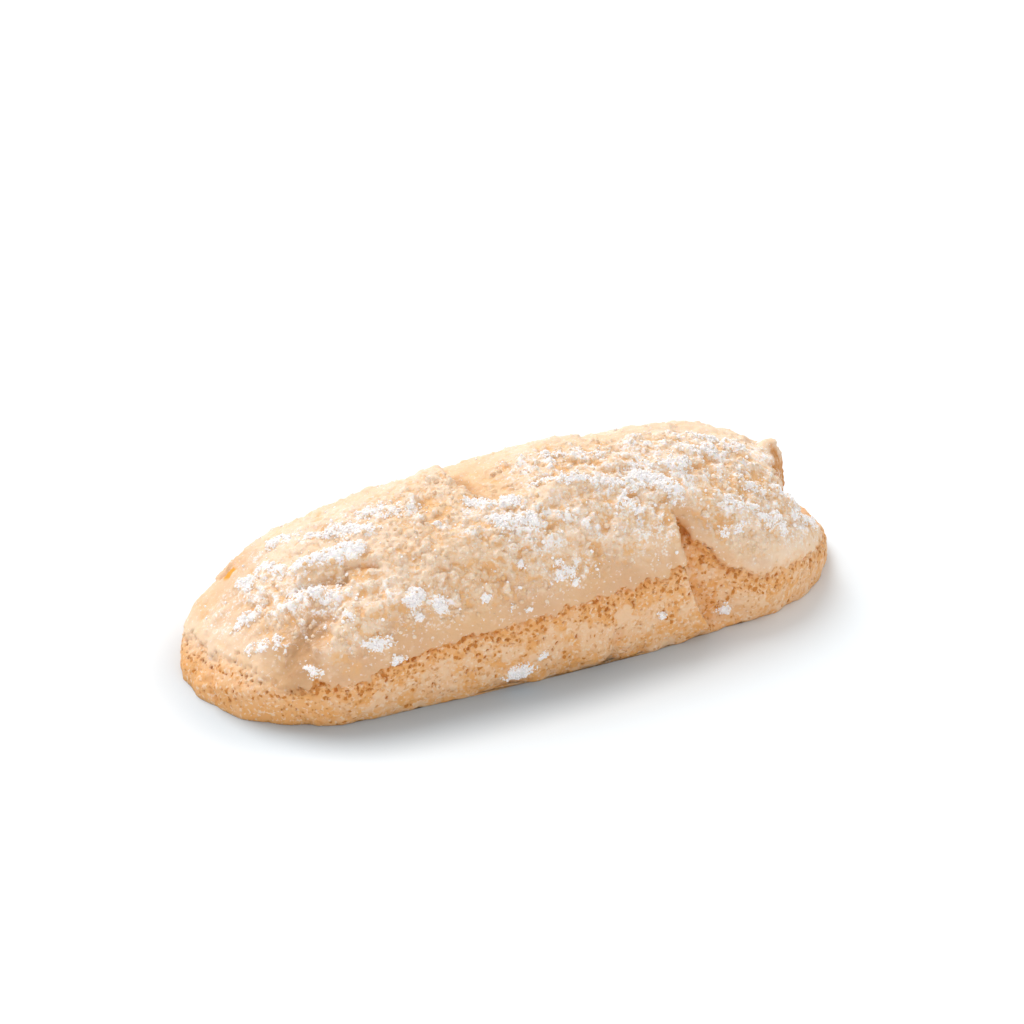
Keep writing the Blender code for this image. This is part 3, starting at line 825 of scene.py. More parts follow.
def crown_detail(points, normals, rim, shape):
    """Knobs, grit, wrinkles and roughness of the crust, and how grainy it is."""
    x = points[:, 0]
    zone = grainy_zone(points, rim)
    rough = zone * (1.0 - 0.15 * short_of(x, -20.0, 8.0))
    spacing = shape.knob_spacing / MM
    knob = dots(points, spacing, (1.6, 1.1), (0.70, 0.80, 0.5), 0.04 + 0.6 * zone, 11)
    knob = knob * (1.0 - 0.6 * past(x, 2.0, 10.0))
    nub = dots(points, spacing * 0.55, (1.1, 0.6), (0.42, 0.42, 0.26), 0.06 + 0.65 * zone, 16)
    spacing = shape.grit_spacing / MM
    grit = dots(points, spacing, (0.8, 0.3), (0.26, 0.26, 0.22), 0.10 + 0.45 * zone, 21)
    fine = field(points, 0.85, 31) + 0.8 * field(points, 0.45, 32)
    crags = (0.45 - 2.2 * np.abs(field(warp(points, 2.0, 0.8, 51), 3.2, 52))) * rough
    lumps = knob + 0.65 * nub * (1.0 - 0.4 * knob) - 0.3 * zone
    soft = 0.16 * field(points, 2.4, 53) + 0.10 * field(points, 1.3, 54)
    detail = shape.knob_height / MM * lumps * (0.3 + 0.7 * rough)
    detail = detail + shape.grit_height / MM * grit * (0.5 + 0.5 * rough)
    detail = detail + shape.fine_height / MM * fine * (0.5 + 0.8 * rough)
    detail = detail + soft * (1.0 + 1.3 * short_of(x, -24.0, 10.0))
    detail = detail + shape.wrinkle_height / MM * wrinkles(points, normals)
    return detail + 0.45 * crags, zone


def band_detail(points, edge, below, crack, shape):
    """Skin islands, pores and roughness below the rim, and their masks."""
    x, y, z = points.T
    patches = field(warp(points, 1.2, 0.8, 61), 3.4, 62) + 0.5 * field(points, 1.3, 63)
    island = past(patches, 0.22, 0.35) * short_of(edge, -1.6, 1.0) * below
    gap = fold_gap(x, z)
    wedge = past(gap, -0.3, 0.8) * (1.0 - past(gap, 3.0, 5.0)) * front_side(y)
    dense = 0.10 + 0.5 * field(points, 4.0, 73) + 0.4 * wedge
    dense = dense + (1.2 + 1.0 * field(points, 5.0, 79)) * peak(edge, -1.3, 1.6)
    pore = dots(points, shape.pore_spacing / MM, (0.7, 0.35), (0.15, 0.30, 0.14),
                np.clip(dense, 0.04, 0.95), 71)
    pore = pore * below * (1.0 - 0.9 * island) * past(z, 0.8, 1.0)
    porous = (dense - 0.08) * (1.0 - 0.6 * short_of(x, -40.0, 8.0))
    rough = 0.20 * field(points, 1.3, 74) + 0.14 * field(points, 0.6, 75)
    band = below * (rough * (1.0 - 0.6 * island) + 0.16 * island)
    band = band - 0.5 * crack * below * ease(0.5 + 1.6 * field(points, 2.0, 76))
    masks = {"island": island, "pore": pore, "porous": np.clip(porous, 0.0, 0.75)}
    return band - shape.pore_depth / MM * pore, masks


def coarse_relief(points, crust, soft, top):
    """Swellings, crags and the step at the rim, all of which the solid has too."""
    ridge = 1.0 - 2.0 * np.abs(shared_field(points, CRAG_SIZE, 11.7))
    relief = SWELL * shared_field(points, SWELL_SIZE, 3.1)
    relief = relief + RIM_PROUD * crust * (1.0 - 0.6 * soft)
    relief = relief + CRAG * np.maximum(ridge - 0.45, -0.3) * (0.25 + 0.75 * top)
    return relief + CRUMB * shared_field(points, CRUMB_SIZE, 23.9) * (0.5 + 0.5 * top)


def foot_waves(points):
    """Uneven foot of the biscuit, level again at the torn end."""
    x, y, z = points.T
    flat = np.stack([x, y, 0.3 * z], 1)
    waves = field(flat, 4.2, 77) + 0.25 * field(flat, 1.7, 78)
    return 0.8 * waves * (1.0 - past(x, 50.0, 4.0)) * (1.0 - ease(z / 3.0))


def crust_relief(points, normals, shape):
    """Push along the normal at each point, and the masks of the material."""
    x, y, z = points.T
    rim = rim_height(x, y)
    edge = z - rim + 1.2 * field(points, 2.4, 1) + 0.8 * field(points, 0.9, 2)
    crust = ease(edge / 0.4)
    cap = short_of(x, CAP_X, 6.0)
    soft = np.maximum(cap, past(x, LOBE_X + 1.0, 4.0) * short_of(y, -4.0, 6.0))
    tint = ease((edge + 1.2 * (1.0 + cap) * soft) / (0.4 + 2.6 * soft))
    top = past(normals[:, 2], 0.25, 0.4) * past(z, rim + 1.5, 3.0)

    detail, zone = crown_detail(points, normals, rim, shape)
    detail = detail * crust * past(z, rim + 0.2, 1.0)
    crack = peak(edge, -0.2, 0.5)
    band, masks = band_detail(points, edge, 1.0 - crust, crack, shape)
    clump = clump_cover(points)
    grains = 0.85 + 0.4 * field(points, 1.0, 81) + 0.25 * field(points, 0.5, 82)
    pile = shape.sugar_rise / MM * np.sqrt(clump) * grains
    push = coarse_relief(points, crust, soft, top) + detail * (1.0 - 0.6 * clump)
    push = push + band + pile - PIT_DEPTH * fold_pit(x, y, z)
    push = push * (0.35 + 0.65 * past(z, 0.3, 1.5)) + foot_waves(points)
    masks.update(crust=tint, height=detail, crack=crack * (1.0 - 0.85 * soft),
                 clump=clump, grainy=zone)
    return push, masks


def fold_pit(x, y, z):
    """The pit at the top of the fold: its depth, and where dark brown is painted in it as shade."""
    return peak(x, FOLD_TOP_X + 1.8, 1.0) * peak(z, FOLD_TOP_Z, 1.7) * front_side(y)


def amber_mask(points):
    """Small spots of painted light, as of light shining through thin crust: a hole at the back left
    and one by the torn end.
    """
    x, y, z = points.T
    hole = capsule(x, y, (-45.5, 9.8), (-45.4, 12.2), 1.4) * past(z, 10.8, 0.8)
    spot = 0.7 * capsule(x, y, (47.5, -9.8), (49.0, -9.6), 0.9)
    return ease(np.maximum(hole, spot) * 2.5) * (z > WAIST)


def deepest(x, y, dips):
    """Strongest of some dips, each a start, an end, a radius and a strength."""
    shade = np.zeros_like(x)
    for start, end, radius, strength in dips:
        shade = np.maximum(shade, strength * capsule(x, y, start, end, radius))
    return shade


def toasted_and_shade_mask(points):
    """Brown places: the toasted wedge and seam beside the fold and the torn end, and painted shade
    in the fold's pit, the cleft and under the hollow's ledge.
    """
    x, y, z = points.T
    gap = fold_gap(x, z)
    beside = past(gap, -0.1, 0.5) * front_side(y)
    wedge = short_of(z, lobe_rim(x) + 0.8, 1.2) * (1.0 - past(gap, 1.5, 7.0)) * past(z, 2.0, 7.0)
    seam = peak(lobe_rim(x) - z + 0.9 * field(points, 2.2, 97), 1.0, 0.9)
    seam = seam * (1.0 - past(x, 26.0, 9.0))
    beyond = x - cliff_line(y)
    face = past(beyond, -2.2, 0.8) * past(y, -9.0, 1.5) * short_of(y, 0.5, 1.5)
    face = np.maximum(face, past(beyond, -0.6, 0.5) * past(y, -7.0, 2.0)) * past(z, 9.0, 4.0)
    brown = np.maximum(0.15 * wedge, 0.5 * seam) * beside
    # Dark brown in the fold's pit: painted shade
    brown = np.maximum(brown, 1.4 * fold_pit(x, y, z))
    # Brown in the cleft and under the hollow's ledge: painted shade
    brown = np.maximum(brown, deepest(x, y, BROWN_SHADE_DIPS) * (z > WAIST))
    return np.clip(np.maximum(brown, face), 0.0, 1.0)


def dim_mask(points):
    """Painted shade, soft brown, in the deep dips of the crown."""
    x, y, z = points.T
    return deepest(x, y, SOFT_SHADE_DIPS) * (z > WAIST)


def tan_and_light_mask(points, normals):
    """How tan the crust is: pale on top, tan towards the rim, with painted light on the lobe,
    painted shade in the trough and a painted highlight along the fold's edge.
    """
    x, y, z = points.T
    side = 1.0 - past(normals[:, 2], -0.05, 0.75)
    low = 1.0 - past(z + 1.5 * field(points, 5.0, 96), rim_height(x, y) + 1.0, 9.0)
    # Paler at the left end, and much paler on the lobe right of the fold, where the pallor is
    # painted light
    ends = (1.0 - 0.7 * short_of(x, CAP_X, 8.0)) * (1.0 - 0.95 * past(x, LOBE_X, 18.0))
    tan = 0.6 * (side + low) * ends + 0.25 * field(points, 9.0, 95)
    tan = tan + 0.12 * short_of(x, -12.0, 14.0)
    # More tan in the trough: painted shade
    trough = 0.6 * capsule(x, y, (-40.0, -13.8), (-47.0, -16.5), 5.0) * (z > WAIST)
    # Less tan along the fold's edge: a painted highlight
    lip = peak(fold_gap(x, z), -0.7, 0.6) * front_side(y) * (z < FOLD_TOP_Z)
    return np.clip(tan + trough - 0.4 * lip, 0.0, 1.3)


def dust_mask(points, normals, masks):
    """Thin dusting of sugar, held on the tops of the lumps."""
    x, y = warp(points, 2.2, 1.3, 91)[:, :2].T
    up = normals[:, 2]
    rim = rim_height(points[:, 0], points[:, 1])
    thin = dust_cover(x, y) * past(up, 0.05, 0.4) * past(points[:, 2], rim + 1.0, 2.0)
    thin = thin + 0.16 * masks["grainy"] * past(up, 0.2, 0.4)
    patchy = 0.5 * field(points, 2.6, 92) + 0.55 * field(points, 1.1, 93)
    held = 1.5 * np.clip(masks["height"], -0.5, 0.6)
    return np.clip(thin * (0.7 + patchy + held), 0.0, 1.0)


def make_biscuit(shape):
    """The biscuit, wrapped from a grid, meshed evenly and given its relief."""
    deselect()
    bpy.ops.mesh.primitive_grid_add(x_subdivisions=STATIONS, y_subdivisions=RING_STEPS, size=2.0)
    piece = bpy.context.active_object
    piece.name = "biscuit"
    grid = read_points(piece.data) * MM  # from -1 to 1 both ways
    write_points(piece.data, np.stack(wrap(grid[:, 0], grid[:, 1]), 1))
    close_shell()
    apply_modifier(piece, 'REMESH', mode='VOXEL', voxel_size=shape.voxel, adaptivity=0.0)
    mesh = piece.data
    points = read_points(mesh)
    normals = read_normals(mesh)
    push, masks = crust_relief(points, normals, shape)
    masks.update(
        toasted=toasted_and_shade_mask(points), amber=amber_mask(points), dim=dim_mask(points),
        west=short_of(points[:, 0], -36.0, 14.0), hollow=in_hollow(*points.T),
        dust=dust_mask(points, normals, masks), baked=tan_and_light_mask(points, normals))
    write_points(mesh, points + normals * push[:, None])
    for name, values in masks.items():
        write_mask(mesh, name, values)
    cut_sole(piece)
    thin_mesh(piece, shape.triangles)
    bpy.ops.object.shade_smooth()
    return piece


def close_shell():
    """Close the wrapped grid's open edge and turn its faces outwards."""
    bpy.ops.object.mode_set(mode='EDIT')
    bpy.ops.mesh.select_all(action='DESELECT')
    bpy.ops.mesh.select_mode(type='EDGE')
    bpy.ops.mesh.select_non_manifold()
    bpy.ops.mesh.edge_face_add()
    bpy.ops.mesh.select_all(action='SELECT')
    bpy.ops.mesh.normals_make_consistent(inside=False)
    bpy.ops.object.mode_set(mode='OBJECT')


def thin_mesh(piece, triangles):
    """Bring the piece down to its count of triangles, flat places first."""
    apply_modifier(piece, 'TRIANGULATE')
    ratio = triangles / len(piece.data.polygons)
    if ratio < 1.0:
        apply_modifier(piece, 'DECIMATE', ratio=ratio, use_collapse_triangulate=True)
    points = read_points(piece.data)
    points[:, 2] = np.maximum(points[:, 2], 0.0)
    write_points(piece.data, points)


def cut_sole(piece):
    """Cut the piece flat at z = 0 and close it."""
    activate(piece)
    bpy.ops.object.mode_set(mode='EDIT')
    bpy.ops.mesh.select_all(action='SELECT')
    bpy.ops.mesh.bisect(plane_co=(0.0, 0.0, 0.0), plane_no=(0.0, 0.0, 1.0),
                        use_fill=True, clear_inner=True)
    bpy.ops.mesh.select_all(action='SELECT')
    bpy.ops.mesh.remove_doubles(threshold=WELD)
    bpy.ops.object.mode_set(mode='OBJECT')


# --------------------------------------------------- sugar and crumb pieces

def grain_template():
    """Vertices and triangles of a grain of radius 1."""
    work = bmesh.new()
    bmesh.ops.create_icosphere(work, subdivisions=1, radius=1.0)
    verts = np.array([v.co[:] for v in work.verts])
    faces = np.array([[v.index for v in f.verts] for f in work.faces])
    work.free()
    return verts, faces


def join_grains(name, places, radii, rng):
    """One mesh of many grains, each turned, squashed and roughened."""
    verts, faces = grain_template()
    count = len(places)
    rough = rng.uniform(*CORNER_SPREAD, (count, len(verts), 1))
    stretch = rng.uniform(*STRETCH_SPREAD, (count, 1, 3))
    shapes = verts[None] * rough * stretch * radii[:, None, None]
    turns, _ = np.linalg.qr(rng.normal(size=(count, 3, 3)))
    turns[np.linalg.det(turns) < 0.0, :, 0] *= -1.0
    shapes = np.einsum('nvi,nji->nvj', shapes, turns)
    points = (shapes + places[:, None]).reshape(-1, 3)
    index = (faces[None] + (np.arange(count) * len(verts))[:, None, None]).reshape(-1, 3)
    mesh = bpy.data.meshes.new(name)
    mesh.from_pydata((points * MM).tolist(), [], index.tolist())
    mesh.update()
    piece = bpy.data.objects.new(name, mesh)
    bpy.context.scene.collection.objects.link(piece)
    activate(piece)
    bpy.ops.object.shade_smooth()
    return piece


def surface_samples(piece, count, rng):
    """Random points of a piece's faces, even by area, with their normals."""
    mesh = piece.data
    mesh.calc_loop_triangles()
    tris = np.empty(len(mesh.loop_triangles) * 3, dtype=np.int64)
    mesh.loop_triangles.foreach_get("vertices", tris)
    corners = read_points(mesh)[tris.reshape(-1, 3)]
    cross = np.cross(corners[:, 1] - corners[:, 0], corners[:, 2] - corners[:, 0])
    area = np.linalg.norm(cross, axis=1)
    pick = rng.choice(len(area), size=count, p=area / area.sum())
    a, b = rng.uniform(size=(2, count, 1))
    swap = a + b > 1.0
    a, b = np.where(swap, 1.0 - a, a), np.where(swap, 1.0 - b, b)
    corner = corners[pick]
    points = corner[:, 0] + a * (corner[:, 1] - corner[:, 0]) + b * (corner[:, 2] - corner[:, 0])
    return points, cross[pick] / area[pick][:, None]


def choose(points, normals, chance, limit, rng):
    """Points kept by chance, up to a limit."""
    keep = (rng.uniform(size=len(points)) < chance) & (points[:, 2] > LOWEST_GRAIN)
    order = rng.permutation(np.flatnonzero(keep))[:limit]
    return points[order], normals[order]


def make_clumps(biscuit, sugar):
    """Clumps of sugar: small grains piled on the streaks."""
    rng = np.random.default_rng(sugar.seed)
    points, normals = surface_samples(biscuit, sugar.clump_grains * CLUMP_TRIES, rng)
    chance = 0.75 * clump_cover(points - 0.3 * normals) ** 0.7
    points, normals = choose(points, normals, chance, sugar.clump_grains, rng)
    radii = sugar.clump_radius / MM * rng.uniform(0.6, 1.5, len(points))
    stack = rng.uniform(-0.6, 0.6, len(points)) * radii
    return join_grains("sugar_clumps", points + normals * stack[:, None], radii, rng)


def make_grains(biscuit, sugar):
    """Single grains and small flakes of sugar strewn on the crust."""
    rng = np.random.default_rng(sugar.seed + 1)
    points, normals = surface_samples(biscuit, sugar.loose_grains * LOOSE_TRIES, rng)
    x, y, z = points.T
    crown = past(normals[:, 2], 0.05, 0.5) * past(z, rim_height(x, y) + 1.0, 4.0)
    chance = crown * (0.06 + 0.5 * dust_cover(x, y) + 0.3 * sugar_cover(x, y)) + 0.003
    chance = chance * np.clip(0.5 + 1.6 * field(points, 3.0, 121), 0.08, 1.8)
    points, normals = choose(points, normals, chance, sugar.loose_grains, rng)
    radii = GRAIN_LEAST + (GRAIN_MOST - GRAIN_LEAST) * rng.uniform(size=len(points)) ** 5
    return join_grains("sugar_grains", points + normals * radii[:, None] * GRAIN_STAND, radii, rng)


def make_crumbs(biscuit, sugar):
    """Baked crumbs stuck on the crown."""
    rng = np.random.default_rng(sugar.seed + 2)
    points, normals = surface_samples(biscuit, sugar.crumbs * LOOSE_TRIES, rng)
    zone = grainy_zone(points, rim_height(points[:, 0], points[:, 1]))
    high = past(normals[:, 2], -0.1, 0.5) * short_of(points[:, 1], 3.0, 6.0)
    points, normals = choose(points, normals, zone * high * 0.6, sugar.crumbs, rng)
    radii = sugar.crumb_radius / MM * (0.25 + 0.75 * rng.uniform(size=len(points)) ** 2.2)
    return join_grains("crust_crumbs", points - normals * radii[:, None] * CRUMB_SINK, radii, rng)


# --------------------------------------------------------------- materials

def node(tree, kind, x, y, **settings):
    """Add a node at a place and set its own values."""
    made = tree.nodes.new(kind)
    made.location = (x, y)
    for key, value in settings.items():
        setattr(made, key, value)
    return made


def speckle_group():
    """Node group: sharpened noise on the surface, as a mask."""
    group = bpy.data.node_groups.new("sharp_noise", 'ShaderNodeTree')
    face = group.interface
    face.new_socket("Vector", in_out='INPUT', socket_type='NodeSocketVector')
    for name, value in (("Scale", FLECKS), ("Low", 0.4), ("High", 0.6), ("From", 0.0), ("To", 1.0)):
        socket = face.new_socket(name, in_out='INPUT', socket_type='NodeSocketFloat')
        socket.default_value = value
    face.new_socket("Mask", in_out='OUTPUT', socket_type='NodeSocketFloat')
    inlet = node(group, 'NodeGroupInput', -500, 0)
    outlet = node(group, 'NodeGroupOutput', 300, 0)
    texture = node(group, 'ShaderNodeTexNoise', -250, 0)
    texture.inputs["Detail"].default_value = 3.0
    span = node(group, 'ShaderNodeMapRange', 50, 0, interpolation_type='SMOOTHSTEP')
    link = group.links.new
    link(inlet.outputs["Vector"], texture.inputs["Vector"])
    link(inlet.outputs["Scale"], texture.inputs["Scale"])
    link(texture.outputs["Fac"], span.inputs["Value"])
    link(inlet.outputs["Low"], span.inputs["From Min"])
    link(inlet.outputs["High"], span.inputs["From Max"])
    link(inlet.outputs["From"], span.inputs["To Min"])
    link(inlet.outputs["To"], span.inputs["To Max"])
    link(span.outputs["Result"], outlet.inputs["Mask"])
    return group


class Painter:
    """Builds one material's nodes from left to right."""

    def __init__(self, name, group):
        self.material = bpy.data.materials.new(name)
        self.material.use_nodes = True
        self.tree = self.material.node_tree
        self.link = self.tree.links.new
        self.group = group
        self.shader = self.tree.nodes["Principled BSDF"]
        self.column = -1800
        self.coords = node(self.tree, 'ShaderNodeTexCoord', -2100, 0).outputs["Object"]

    def add(self, kind, **settings):
        """New node in the next column."""
        self.column += 60
        return node(self.tree, kind, self.column, (self.column * 7) % 900 - 450, **settings)

    def place(self):
        """Outputs X, Y and Z of the place on the object, in metres."""
        made = self.add('ShaderNodeSeparateXYZ')
        self.link(self.coords, made.inputs["Vector"])
        return made.outputs

    def noise(self, scale, low, high, to_low=0.0, to_high=1.0):
        """Mask from the shared noise group, between two values."""
        made = self.add('ShaderNodeGroup')
        made.node_tree = self.group
        for name, value in (("Scale", scale), ("Low", low), ("High", high),
                            ("From", to_low), ("To", to_high)):
            made.inputs[name].default_value = value
        self.link(self.coords, made.inputs["Vector"])
        return made.outputs["Mask"]

    def spots(self, scale):
        """Distance to the nearest ragged spot, in spacings, and two draws for each spot."""
        sway = self.add('ShaderNodeTexNoise')
        sway.inputs["Scale"].default_value = scale * 1.4
        moved = self.add('ShaderNodeVectorMath', operation='MULTIPLY_ADD')
        moved.inputs[1].default_value = [0.9 / scale] * 3
        made = self.add('ShaderNodeTexVoronoi')
        made.inputs["Scale"].default_value = scale
        split = self.add('ShaderNodeSeparateColor')
        self.link(self.coords, sway.inputs["Vector"])
        self.link(sway.outputs["Color"], moved.inputs[0])
        self.link(self.coords, moved.inputs[2])
        self.link(moved.outputs["Vector"], made.inputs["Vector"])
        self.link(made.outputs["Color"], split.inputs["Color"])
        return made.outputs["Distance"], split.outputs["Red"], split.outputs["Green"]

    def mask(self, name):
        """Mask stored on the mesh."""
        return self.add('ShaderNodeAttribute', attribute_name=name).outputs["Fac"]

    def span(self, value, low, high, to_low=0.0, to_high=1.0):
        """Smooth map of a value from one range to another."""
        made = self.add('ShaderNodeMapRange', interpolation_type='SMOOTHSTEP')
        self.link(value, made.inputs["Value"])
        made.inputs["From Min"].default_value = low
        made.inputs["From Max"].default_value = high
        made.inputs["To Min"].default_value = to_low
        made.inputs["To Max"].default_value = to_high
        return made.outputs["Result"]

    def maths(self, operation, first, second):
        """Arithmetic on two values, either of which may be a number."""
        made = self.add('ShaderNodeMath', operation=operation)
        for socket, value in zip(made.inputs, (first, second)):
            if isinstance(value, (int, float)):
                socket.default_value = value
            else:
                self.link(value, socket)
        return made.outputs["Value"]

    def times(self, first, second):
        """Product of two values."""
        return self.maths('MULTIPLY', first, second)

    def plus(self, first, second):
        """Sum of two values."""
        return self.maths('ADD', first, second)

    def most(self, first, second):
        """Larger of two values."""
        return self.maths('MAXIMUM', first, second)

    def mix(self, mask, first, second):
        """Mix two colours by a mask."""
        made = self.add('ShaderNodeMix', data_type='RGBA')
        for name, value in (("Factor_Float", mask), ("A_Color", first), ("B_Color", second)):
            socket = next(s for s in made.inputs if s.identifier == name)
            if isinstance(value, bpy.types.NodeSocket):
                self.link(value, socket)
            else:
                socket.default_value = tuple(value)
        return next(s for s in made.outputs if s.identifier == "Result_Color")

    def bump(self, height, size, below=None):
        """Bump of a strength and a depth from a height, over another bump."""
        made = self.add('ShaderNodeBump')
        made.inputs["Strength"].default_value, made.inputs["Distance"].default_value = size
        self.link(height, made.inputs["Height"])
        if below is not None:
            self.link(below, made.inputs["Normal"])
        return made.outputs["Normal"]

    def send(self, value, socket):
        """Link a value to the shader."""
        self.link(value, self.shader.inputs[socket])

    def soften(self, share, depth):
        """Let a share of the light through the surface, to a depth."""
        self.shader.inputs["Subsurface Weight"].default_value = share
        self.shader.inputs["Subsurface Radius"].default_value = WARM_REACH
        self.shader.inputs["Subsurface Scale"].default_value = depth


def crust_skin(paint, colours, grain, grainy, west):
    """Colour of the crust: tan towards the rim, golden in clouds, in the hollow and at the left
    end, with painted shade in its low places and a painted highlight on its lumps.
    """
    baked = paint.plus(paint.mask("baked"), paint.noise(TAN_PATCHES, 0.3, 0.7, -0.14, 0.14))
    skin = paint.mix(paint.span(baked, 0.05, 0.95), colours.crust_pale, colours.crust_tan)
    cloud = paint.times(paint.noise(CLOUDS, 0.42, 0.68), 0.45)
    hollow_gold = paint.times(paint.mask("hollow"), 0.75)
    skin = paint.mix(paint.most(cloud, hollow_gold), skin, colours.golden)
    skin = paint.mix(paint.span(west, 0.0, 0.8, 0.0, 0.15), skin, colours.golden)
    # Painted shade and highlight: low places of the relief turn to the crevice colour, raised ones
    # pale
    uneven = paint.span(grainy, 0.0, 0.7, 0.12, 0.45)
    relief_shading = paint.times(paint.maths('SUBTRACT', grain, 0.5), uneven)
    relief_shading = paint.plus(paint.mask("height"), relief_shading)
    skin = paint.mix(paint.span(relief_shading, 0.0, -0.5, 0.0, 0.85), skin, colours.crevice_shade)
    skin = paint.mix(paint.span(relief_shading, 0.05, 0.5, 0.0, 0.85), skin, colours.crust_pale)
    return paint.mix(paint.times(paint.noise(SPECKS, 0.61, 0.68), 0.45), skin, colours.sugar)


def open_crumb(paint, colours, height, porous, west):
    """Colour of the crumb below the rim, and how bare of skin it is."""
    blotch = paint.noise(ORANGE_PATCHES, 0.44, 0.58, 0.25, 1.0)
    blotch = paint.most(blotch, paint.span(porous, 0.2, 0.8, 0.0, 0.7))
    crumb = paint.mix(blotch, colours.skin, colours.crumb_orange)
    low = paint.span(height, 0.0, BAND_MIDDLE, 0.7, 0.0)
    low = paint.times(low, paint.noise(LOW_PATCHES, 0.3, 0.6))
    crumb = paint.mix(low, crumb, colours.crumb_orange)
    crumb = paint.mix(paint.noise(FLECKS, 0.46, 0.60, 0.0, 0.5), crumb, colours.skin)
    crumb = paint.mix(paint.span(west, 0.0, 0.7, 0.0, 0.75), crumb, colours.crumb_orange)
    upper = paint.span(height, CAP_FOOT, BAND_MIDDLE, 0.0, 0.3)
    upper = paint.times(paint.span(west, 0.75, 1.0), upper)
    crumb = paint.mix(upper, crumb, colours.crust_pale)
    crumb = paint.mix(paint.noise(SMALL_FLECKS, 0.56, 0.68, 0.0, 0.6), crumb, colours.toasted)
    crumb = paint.mix(paint.noise(SPECKS, 0.54, 0.66, 0.0, 0.7), crumb, colours.crust_pale)
    isle = paint.plus(paint.mask("island"), paint.noise(SMALL_FLECKS, 0.3, 0.7, -0.3, 0.3))
    isle = paint.times(paint.span(isle, 0.2, 0.9), paint.span(west, 0.0, 0.8, 0.9, 0.3))
    return paint.mix(isle, crumb, colours.skin), paint.span(isle, 0.0, 1.0, 1.0, 0.1)


def pored_crumb(paint, colours, crumb, bare, porous):
    """The crumb's colour with its freckles and pores, and where those are."""
    crack = paint.mask("crack")
    near, draw, _ = paint.spots(FRECKLES)
    many = paint.plus(crack, paint.noise(FRECKLE_PATCHES, 0.38, 0.68, -0.1, 0.5))
    many = paint.times(paint.plus(many, paint.times(porous, 0.4)), bare)
    freckle = paint.maths('LESS_THAN', draw, many)
    freckle = paint.times(paint.span(near, 0.42, 0.24), freckle)
    near, draw, size = paint.spots(PORES)
    near = paint.maths('DIVIDE', near, paint.span(size, 0.0, 1.0, 0.5, 1.5))
    opened = paint.maths('LESS_THAN', draw, paint.times(porous, bare))
    halo = paint.times(paint.span(near, 0.9, 0.35), opened)
    crumb = paint.mix(paint.times(halo, 0.75), crumb, colours.crumb_orange)
    hole = paint.times(paint.span(near, 0.40, 0.24), opened)
    hole = paint.most(hole, paint.span(paint.mask("pore"), 0.45, 0.85))
    dark = paint.most(paint.times(freckle, 0.6), hole)
    crumb = paint.mix(paint.times(dark, 0.95), crumb, colours.pore)
    line = paint.times(paint.span(crack, 0.55, 0.95), paint.noise(CRACK_BREAKS, 0.42, 0.58))
    return paint.mix(paint.times(line, 0.6), crumb, colours.toasted), dark


def browned(paint, colours, surface, height, west):
    """The surface with its toasted places, the painted shade in its dips and pits, the painted
    light in its thin spots, and its brown foot.
    """
    toasted = paint.noise(TOAST_BREAKS, 0.2, 0.55, 0.25, 1.0)
    toasted = paint.times(paint.mask("toasted"), toasted)
    # Toasted brown: the crumb's own colour on the wedge, seam and torn face, painted shade in the
    # fold's pit, the cleft and under the hollow's ledge
    surface = paint.mix(toasted, surface, colours.toasted)
    # Soft brown in the deep dips: painted shade
    surface = paint.mix(paint.mask("dim"), surface, colours.dip_shade)
    # Orange in thin spots: painted light shining through
    surface = paint.mix(paint.mask("amber"), surface, colours.amber)
    foot = paint.span(height, 0.0, FOOT_TOP, 0.3, 0.0)
    foot = paint.times(foot, paint.span(west, 0.0, 0.6, 0.3, 0.8))
    foot = paint.times(foot, paint.noise(FOOT_PATCHES, 0.3, 0.6, 0.3, 1.0))
    return paint.mix(foot, surface, colours.toasted)


def sugared(paint, colours, surface):
    """The surface under its dusting and its clumps of sugar."""
    powder = paint.plus(paint.noise(POWDER, 0.3, 0.7, -0.3, 0.3),
                        paint.noise(POWDER_PATCHES, 0.3, 0.7, -0.2, 0.2))
    dust = paint.mask("dust")
    thin = paint.span(paint.plus(dust, powder), 0.2, 0.95, 0.0, 0.9)
    thin = paint.times(thin, paint.span(dust, 0.0, 0.12))
    clump = paint.mask("clump")
    thick = paint.span(paint.plus(clump, powder), 0.05, 0.5)
    thick = paint.times(thick, paint.span(clump, 0.0, 0.08))
    clear = paint.span(paint.mask("amber"), 0.0, 0.5, 1.0, 0.0)
    return paint.mix(paint.times(paint.most(thin, thick), clear), surface, colours.sugar)


def crust_material(colours, group):
    """Baked crust, open crumb and dusting, from the masks on the mesh."""
    paint = Painter("baked_crust", group)
    height = paint.place()["Z"]
    west = paint.mask("west")
    porous = paint.mask("porous")
    grainy = paint.mask("grainy")
    crust = paint.mask("crust")
    grain = paint.noise(GRAIN, 0.36, 0.64)
    skin = crust_skin(paint, colours, grain, grainy, west)
    crumb, bare = open_crumb(paint, colours, height, porous, west)
    crumb, holes = pored_crumb(paint, colours, crumb, bare, porous)
    surface = paint.mix(crust, crumb, skin)
    surface = browned(paint, colours, surface, height, west)
    paint.send(sugared(paint, colours, surface), "Base Color")
    paint.send(paint.noise(FLECKS, 0.3, 0.7, *DRY), "Roughness")
    rough = paint.times(grain, paint.span(grainy, 0.0, 0.8, 0.25, 1.0))
    normal = paint.bump(rough, GRAIN_BUMP)
    normal = paint.bump(paint.noise(FINE_GRAIN, 0.2, 0.8), FINE_BUMP, normal)
    holes = paint.times(holes, paint.span(crust, 0.3, 0.7, 1.0, 0.0))
    normal = paint.bump(paint.maths('SUBTRACT', 1.0, holes), PORE_BUMP, normal)
    paint.send(normal, "Normal")
    paint.soften(*CRUST_GLOW)
    return paint.material


